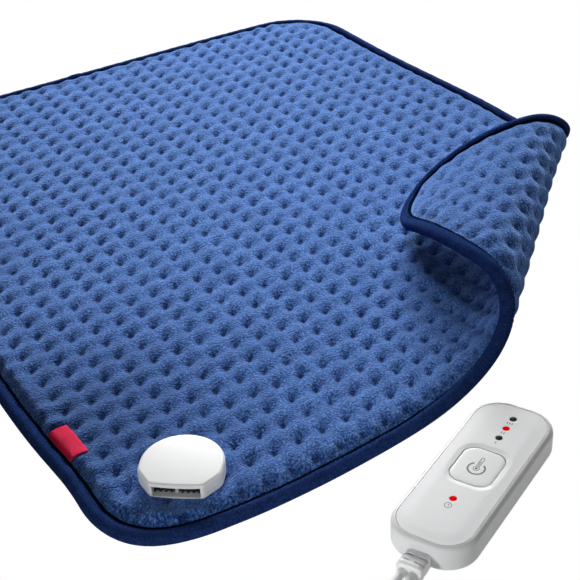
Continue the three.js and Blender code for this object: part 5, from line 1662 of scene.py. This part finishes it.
# %% Button
LIP_LOW = 12.6 * MM
LIP_TOP = 14.1 * MM
BUTTON_TOP = 16.5 * MM
LIP_REACH = 1.2 * MM
BUTTON_EDGE = np.array([
    # inset and fall below the top
    (0, 0.75),
    (0.06, 0.5),
    (0.22, 0.3),
    (0.5, 0.17),
    (1.0, 0.09),
    (2.2, 0.03),
    (4, 0.0),
    (7, 0.0),
]) * MM

button_rings = [
    level(button_ring(SLIDE + LIP_REACH), LIP_LOW),
    level(button_ring(SLIDE + LIP_REACH), LIP_TOP),
    level(button_ring(0), LIP_TOP),
    *[level(button_ring(-inset), BUTTON_TOP - fall) for inset, fall in BUTTON_EDGE],
]
button = make_piece("button", in_handset(button_rings), shell_white, "button")
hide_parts("button_cap")
print("button:", len(button.data.polygons), "faces")

# %% [markdown]
# The sign on the button, an open ring with a thermometer, is printed and rides with it. Bars
# for the three heat levels and a small clock for the timer stand beside the lights. A shader
# could draw the print, but a thin raised line stays crisp close up and in an export.

# %% Printed signs
PRINT = 0.05 * MM
PRINT_SINK = 0.01 * MM
SIGN_AT = 1.7 * MM
SIGN_RING = 4.9 * MM
SIGN_BULB = 1.75 * MM
SIGN_STEM = 9.2 * MM
BAR_STEP = 1.5 * MM
BAR_HALF = np.array([0.9, 0]) * MM
BAR_OFF = 4.7 * MM
CLOCK_OFF = 6.2 * MM
CLOCK = 2.0 * MM


def strip(path, width, low, closed=False):
    """A thin printed line along a path, on a level face."""
    path = np.array(path, float)
    if closed:
        way = np.roll(path, -1, axis=0) - np.roll(path, 1, axis=0)
    else:
        way = np.gradient(path, axis=0)
    side = left_of(way) * width / 2
    rings = []
    for left, right in zip(path + side, path - side):
        rings.append([(*left, low), (*right, low), (*right, low + PRINT), (*left, low + PRINT)])
    return in_handset(np.array(rings), closed)


def arc(x, radius, start, end, steps):
    return on_circle(np.radians(np.linspace(start, end, steps)), radius, (x, 0))


def print_piece(name, lines, body=ROOT):
    """One piece from several printed lines."""
    points, faces = [], []
    for line_points, line_faces in lines:
        faces.extend([[index + len(points) for index in face] for face in line_faces])
        points.extend(line_points)
    piece = make_piece(name, (points, faces), symbol_ink, body)
    return piece


sign_low = BUTTON_TOP - PRINT_SINK
stem = np.concatenate([
    arc(SIGN_AT, SIGN_BULB, 30, 330, 24),
    arc(SIGN_AT + SIGN_STEM, 0.9 * MM, -90, 90, 10),
])
sign = [
    strip(arc(SIGN_AT, SIGN_RING, 36, 324, 56), 1.05 * MM, sign_low),
    strip(stem, 0.42 * MM, sign_low, closed=True),
    strip(arc(SIGN_AT, 0.42 * MM, 0, 345, 16), 0.84 * MM, sign_low, closed=True),
    strip([(SIGN_AT + 0.6 * MM, 0), (SIGN_AT + 6.6 * MM, 0)], 0.4 * MM, sign_low),
]
for tick in (4.4, 5.8, 7.2, 8.6):
    x = SIGN_AT + tick * MM
    sign.append(strip([(x, 0.35 * MM), (x, 0.9 * MM)], 0.22 * MM, sign_low))
print_piece("button_sign", sign, "button")

mark_low = HANDSET_TOP - PRINT_SINK
marks = []
for bars, light in ((3, "led_high"), (2, "led_medium"), (1, "led_low")):
    for k in range(bars):
        spot = np.array([LIGHTS[light] - BAR_OFF, (k - (bars - 1) / 2) * BAR_STEP])
        marks.append(strip([spot - BAR_HALF, spot + BAR_HALF], 0.5 * MM, mark_low))
clock_x = LIGHTS["led_timer"] - CLOCK_OFF
marks.append(strip(arc(clock_x, CLOCK, 0, 351, 40), 0.35 * MM, mark_low, closed=True))
for hand_end in ((clock_x + 1.3 * MM, 0), (clock_x, -1.0 * MM)):
    marks.append(strip([(clock_x, 0), hand_end], 0.3 * MM, mark_low))
print_piece("light_marks", marks)
print(len(sign), "lines on the button and", len(marks), "beside the lights")

# %% [markdown]
# The lights are small lenses with a low dome, two of them lit. A squashed sphere could stand
# for a lens, but the real one has a straight side down to the circuit board. So each is a loft
# of round rings.

# %% Lights
LIGHT_DOME = np.array([
    # radius and height
    (2.0, 9.9),
    (2.0, 16.7),
    (1.9, 16.9),
    (1.6, 17.06),
    (1.1, 17.16),
    (0.5, 17.2),
    (0.06, 17.21),
]) * MM

for node, x in LIGHTS.items():
    lit = node in ("led_medium", "led_timer")
    rings = [disc(x, 0, *station, 32) for station in LIGHT_DOME]
    lens = make_piece("lens_" + node[4:], in_handset(rings), lens_lit if lit else lens_dark)
    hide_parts(node)
print(len(LIGHTS), "lights")

# %% [markdown]
# The strain relief is one soft rubber block for both cords, slotted so that it can bend. It
# could keep its CAD shape, but its round shoulders catch the light. So it is lofted again, and
# the slots are cut by booleans.

# %% Strain relief
RELIEF_WIDTH = 15.6 * MM
RELIEF_HEIGHT = 10.4 * MM
RELIEF_ROUND = 3.4 * MM
RELIEF_WEB = 2.4 * MM
RELIEF_SLOT = 1.4 * MM
RELIEF_SLOTS = (-71.4 * MM, -75.6 * MM)
SLOT_DEPTH = 2 * MM
NECK = (10.4 * MM, 5.2 * MM, 1.3 * MM)  # width, height and corner radius
NECK_REACH = (-68 * MM, -63.2 * MM)
FLANGE = (13 * MM, 6.2 * MM, 1.5 * MM)
FLANGE_REACH = (-64.2 * MM, -62.2 * MM)
RELIEF_STEPS = {"corner_steps": 8, "side_steps": 6}
RELIEF_PROFILE = np.array([
    # place along the control, and inset
    (-80.0, 1.5),
    (-79.8, 0.9),
    (-79.2, 0.3),
    (-78.4, 0.0),
    (-76.6, 0.0),
    (-75.9, 0.25),
    (-75.2, 0.25),
    (-74.2, 0.1),
    (-72.4, 0.15),
    (-70.8, 0.3),
    (-68.2, 0.5),
    (-67.3, 0.8),
    (-66.8, 1.1),
]) * MM


def relief_ring(x, inset):
    size = (RELIEF_WIDTH, RELIEF_HEIGHT, RELIEF_ROUND)
    return level(rounded_outline(*size, inset, **RELIEF_STEPS), x)


relief_rings = along_x([relief_ring(*station) for station in RELIEF_PROFILE])
relief = make_piece("cord_relief", in_handset(relief_rings), cord_white)
slots = []
for x in RELIEF_SLOTS:
    for side in (-1, 1):
        for high in (-1, 1):
            height = RELIEF_MIDDLE + high * (RELIEF_HEIGHT / 2 - SLOT_DEPTH)
            near = np.array([x - RELIEF_SLOT / 2, side * RELIEF_WEB / 2, height])
            far = near + (RELIEF_SLOT, side * RELIEF_WIDTH, high * 2 * SLOT_DEPTH)
            slots.append(in_handset(block(np.minimum(near, far), np.maximum(near, far))))
carve(relief, slots)
held = []
for size, reach in ((NECK, NECK_REACH), (FLANGE, FLANGE_REACH)):
    outline = rounded_outline(*size, **RELIEF_STEPS)
    held.append(in_handset(along_x([level(outline, x) for x in reach])))
carve(relief, held, "UNION")
ease_edges(relief, FINE_EDGE)
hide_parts("strain_relief")
print("strain relief:", len(relief.data.polygons), "faces")

# %% [markdown]
# Four screws on the underside hold the shells together. They sit in wells and have cross
# recesses. A bump could draw the cross, but a cut one has real depth. So each head is a loft,
# and two bars are taken out of it, as a punch would.

# %% Screws
SCREW_HEAD = np.array([
    # radius and height, from the middle of the head to the end of the shank
    (0.05, 0.72),
    (1.2, 0.74),
    (2.1, 0.85),
    (2.5, 1.1),
    (2.6, 1.5),
    (2.6, 2.6),
    (1.1, 2.6),
    (1.1, 11.6),
]) * MM
CROSS_REACH = 1.5 * MM
CROSS_HALF = 0.3 * MM
CROSS_DEPTH = 1.8 * MM

for number, (x, y) in enumerate(SCREWS, 1):
    rings = [disc(x, y, *station) for station in SCREW_HEAD]
    screw = make_piece(f"shell_screw_{number}", in_handset(rings), steel)
    cross = []
    for half_x, half_y in ((CROSS_REACH, CROSS_HALF), (CROSS_HALF, CROSS_REACH)):
        bar = block((x - half_x, y - half_y, 0), (x + half_x, y + half_y, CROSS_DEPTH))
        cross.append(in_handset(bar))
    carve(screw, cross)
    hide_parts(f"handset_screw_{number}")
print(len(SCREWS), "screws")

# %% [markdown]
# ## Pieces inside
#
# The heater, the connector's metal, the circuit board and what is on it are inside. They could
# be modelled again, but only the contacts are ever seen, through the mouth of the socket. So
# each keeps its CAD shape and gets a finish of its own.

# %% Finishes of the pieces inside
inside = {
    felt: ["heater_felt", "fuse"],
    wire_grey: ["heating_wire", "connector_lead_left", "connector_lead_right"],
    brass: [f"connector_contact_{k}" for k in (1, 2, 3, 4)],
    steel: ["connector_backing_plate", "connector_rivet_left", "connector_rivet_right"],
    board_green: ["circuit_board"],
    part_black: ["switch_body", "switch_plunger", "control_chip", "triac"],
    part_yellow: ["capacitor"],
    cord_white: ["mains_leads", "pad_leads"],
}
for finish, names in inside.items():
    for name in names:
        for slot in nodes[name].material_slots:
            slot.material = finish
print(sum(map(len, inside.values())), "pieces inside")

# %% [markdown]
# ## Floor and light
#
# The photo is on plain white. More light could turn a floor white, but it would wash out the
# colours of the pad. So the floor shows white to the camera and to anything that mirrors it,
# and to all other light it is a pale floor, which keeps the shadows.

# %% Floor
FLOOR = 8.0
FLOOR_GAP = 0.5 * MM
PALE = (0.82, 0.82, 0.82, 1)
WHITE = (1, 1, 1, 1)
WHITE_TO = ("Camera", "Glossy", "Transmission")


def floor_material():
    material = bpy.data.materials.new("pale_floor")
    material.use_nodes = True
    tree = material.node_tree
    start = Field(tree)
    rays = [start.node("LightPath", output=f"Is {kind} Ray") for kind in WHITE_TO]
    seen = limit(rays[0] + rays[1] + rays[2])
    white = start.node("Emission", {"Color": WHITE, "Strength": 1.0})
    pale = start.node("BsdfDiffuse", {"Color": PALE})
    shown = start.node("MixShader", {0: seen, 1: pale, 2: white})
    tree.links.new(shown.socket, tree.nodes["Material Output"].inputs["Surface"])
    return material


corners = [(-FLOOR, -FLOOR, 0), (FLOOR, -FLOOR, 0), (FLOOR, FLOOR, 0), (-FLOOR, FLOOR, 0)]
floor = bare_object("floor", corners, [(0, 1, 2, 3)])
floor.location.z = -FLOOR_GAP
floor.data.materials.append(floor_material())
print("floor", 2 * FLOOR, "m wide")

# %% [markdown]
# The light is soft and comes mostly from behind. One big lamp overhead could light it all, but
# then the tufts would hardly show. So one wide lamp stands low behind the pad and draws its
# relief, and small ones above, right, in front and left lift the sides that face the camera.

# %% Lamps
WORLD_LIGHT = 0.05
LAMPS = [
    # name, place, aim, size, power in watts and the angle that its grid leaves open
    ("behind", (0.66, 1.06, 0.54), (0.05, 0.21, 0), (0.8, 0.5), 5.7, 60),
    ("above", (-0.06, -0.06, 1.10), (0.06, -0.04, 0.03), (0.25, 0.25), 0.125, 30),
    ("right", (0.35, -1.05, 0.28), (-0.06, -0.31, 0.01), (0.2, 0.2), 0.014, 16),
    ("front", (-1.25, -0.50, 0.40), (-0.12, -0.33, 0.01), (0.2, 0.2), 0.08, 16),
    ("left", (-0.55, -1.05, 0.42), (-0.20, -0.23, 0.01), (0.2, 0.2), 0.036, 17),
]


def softbox(name, at, aim, size, power, spread):
    """A lamp behind a grid, which keeps its light within an angle."""
    lamp = bpy.data.lights.new(name, "AREA")
    lamp.shape = "RECTANGLE"
    lamp.size, lamp.size_y = size
    lamp.energy = power
    lamp.spread = math.radians(spread)
    stand = bpy.data.objects.new(name, lamp)
    stand.location = at
    stand.rotation_euler = (Vector(aim) - Vector(at)).to_track_quat("-Z", "Y").to_euler()
    bpy.context.scene.collection.objects.link(stand)


for lamp in LAMPS:
    softbox(*lamp)

world = bpy.data.worlds.new("studio")
world.use_nodes = True
sky = world.node_tree.nodes["Background"]
sky.inputs["Color"].default_value = WHITE
sky.inputs["Strength"].default_value = WORLD_LIGHT
bpy.context.scene.world = world
bpy.context.scene.view_settings.view_transform = "Standard"
print(len(LAMPS), "lamps")
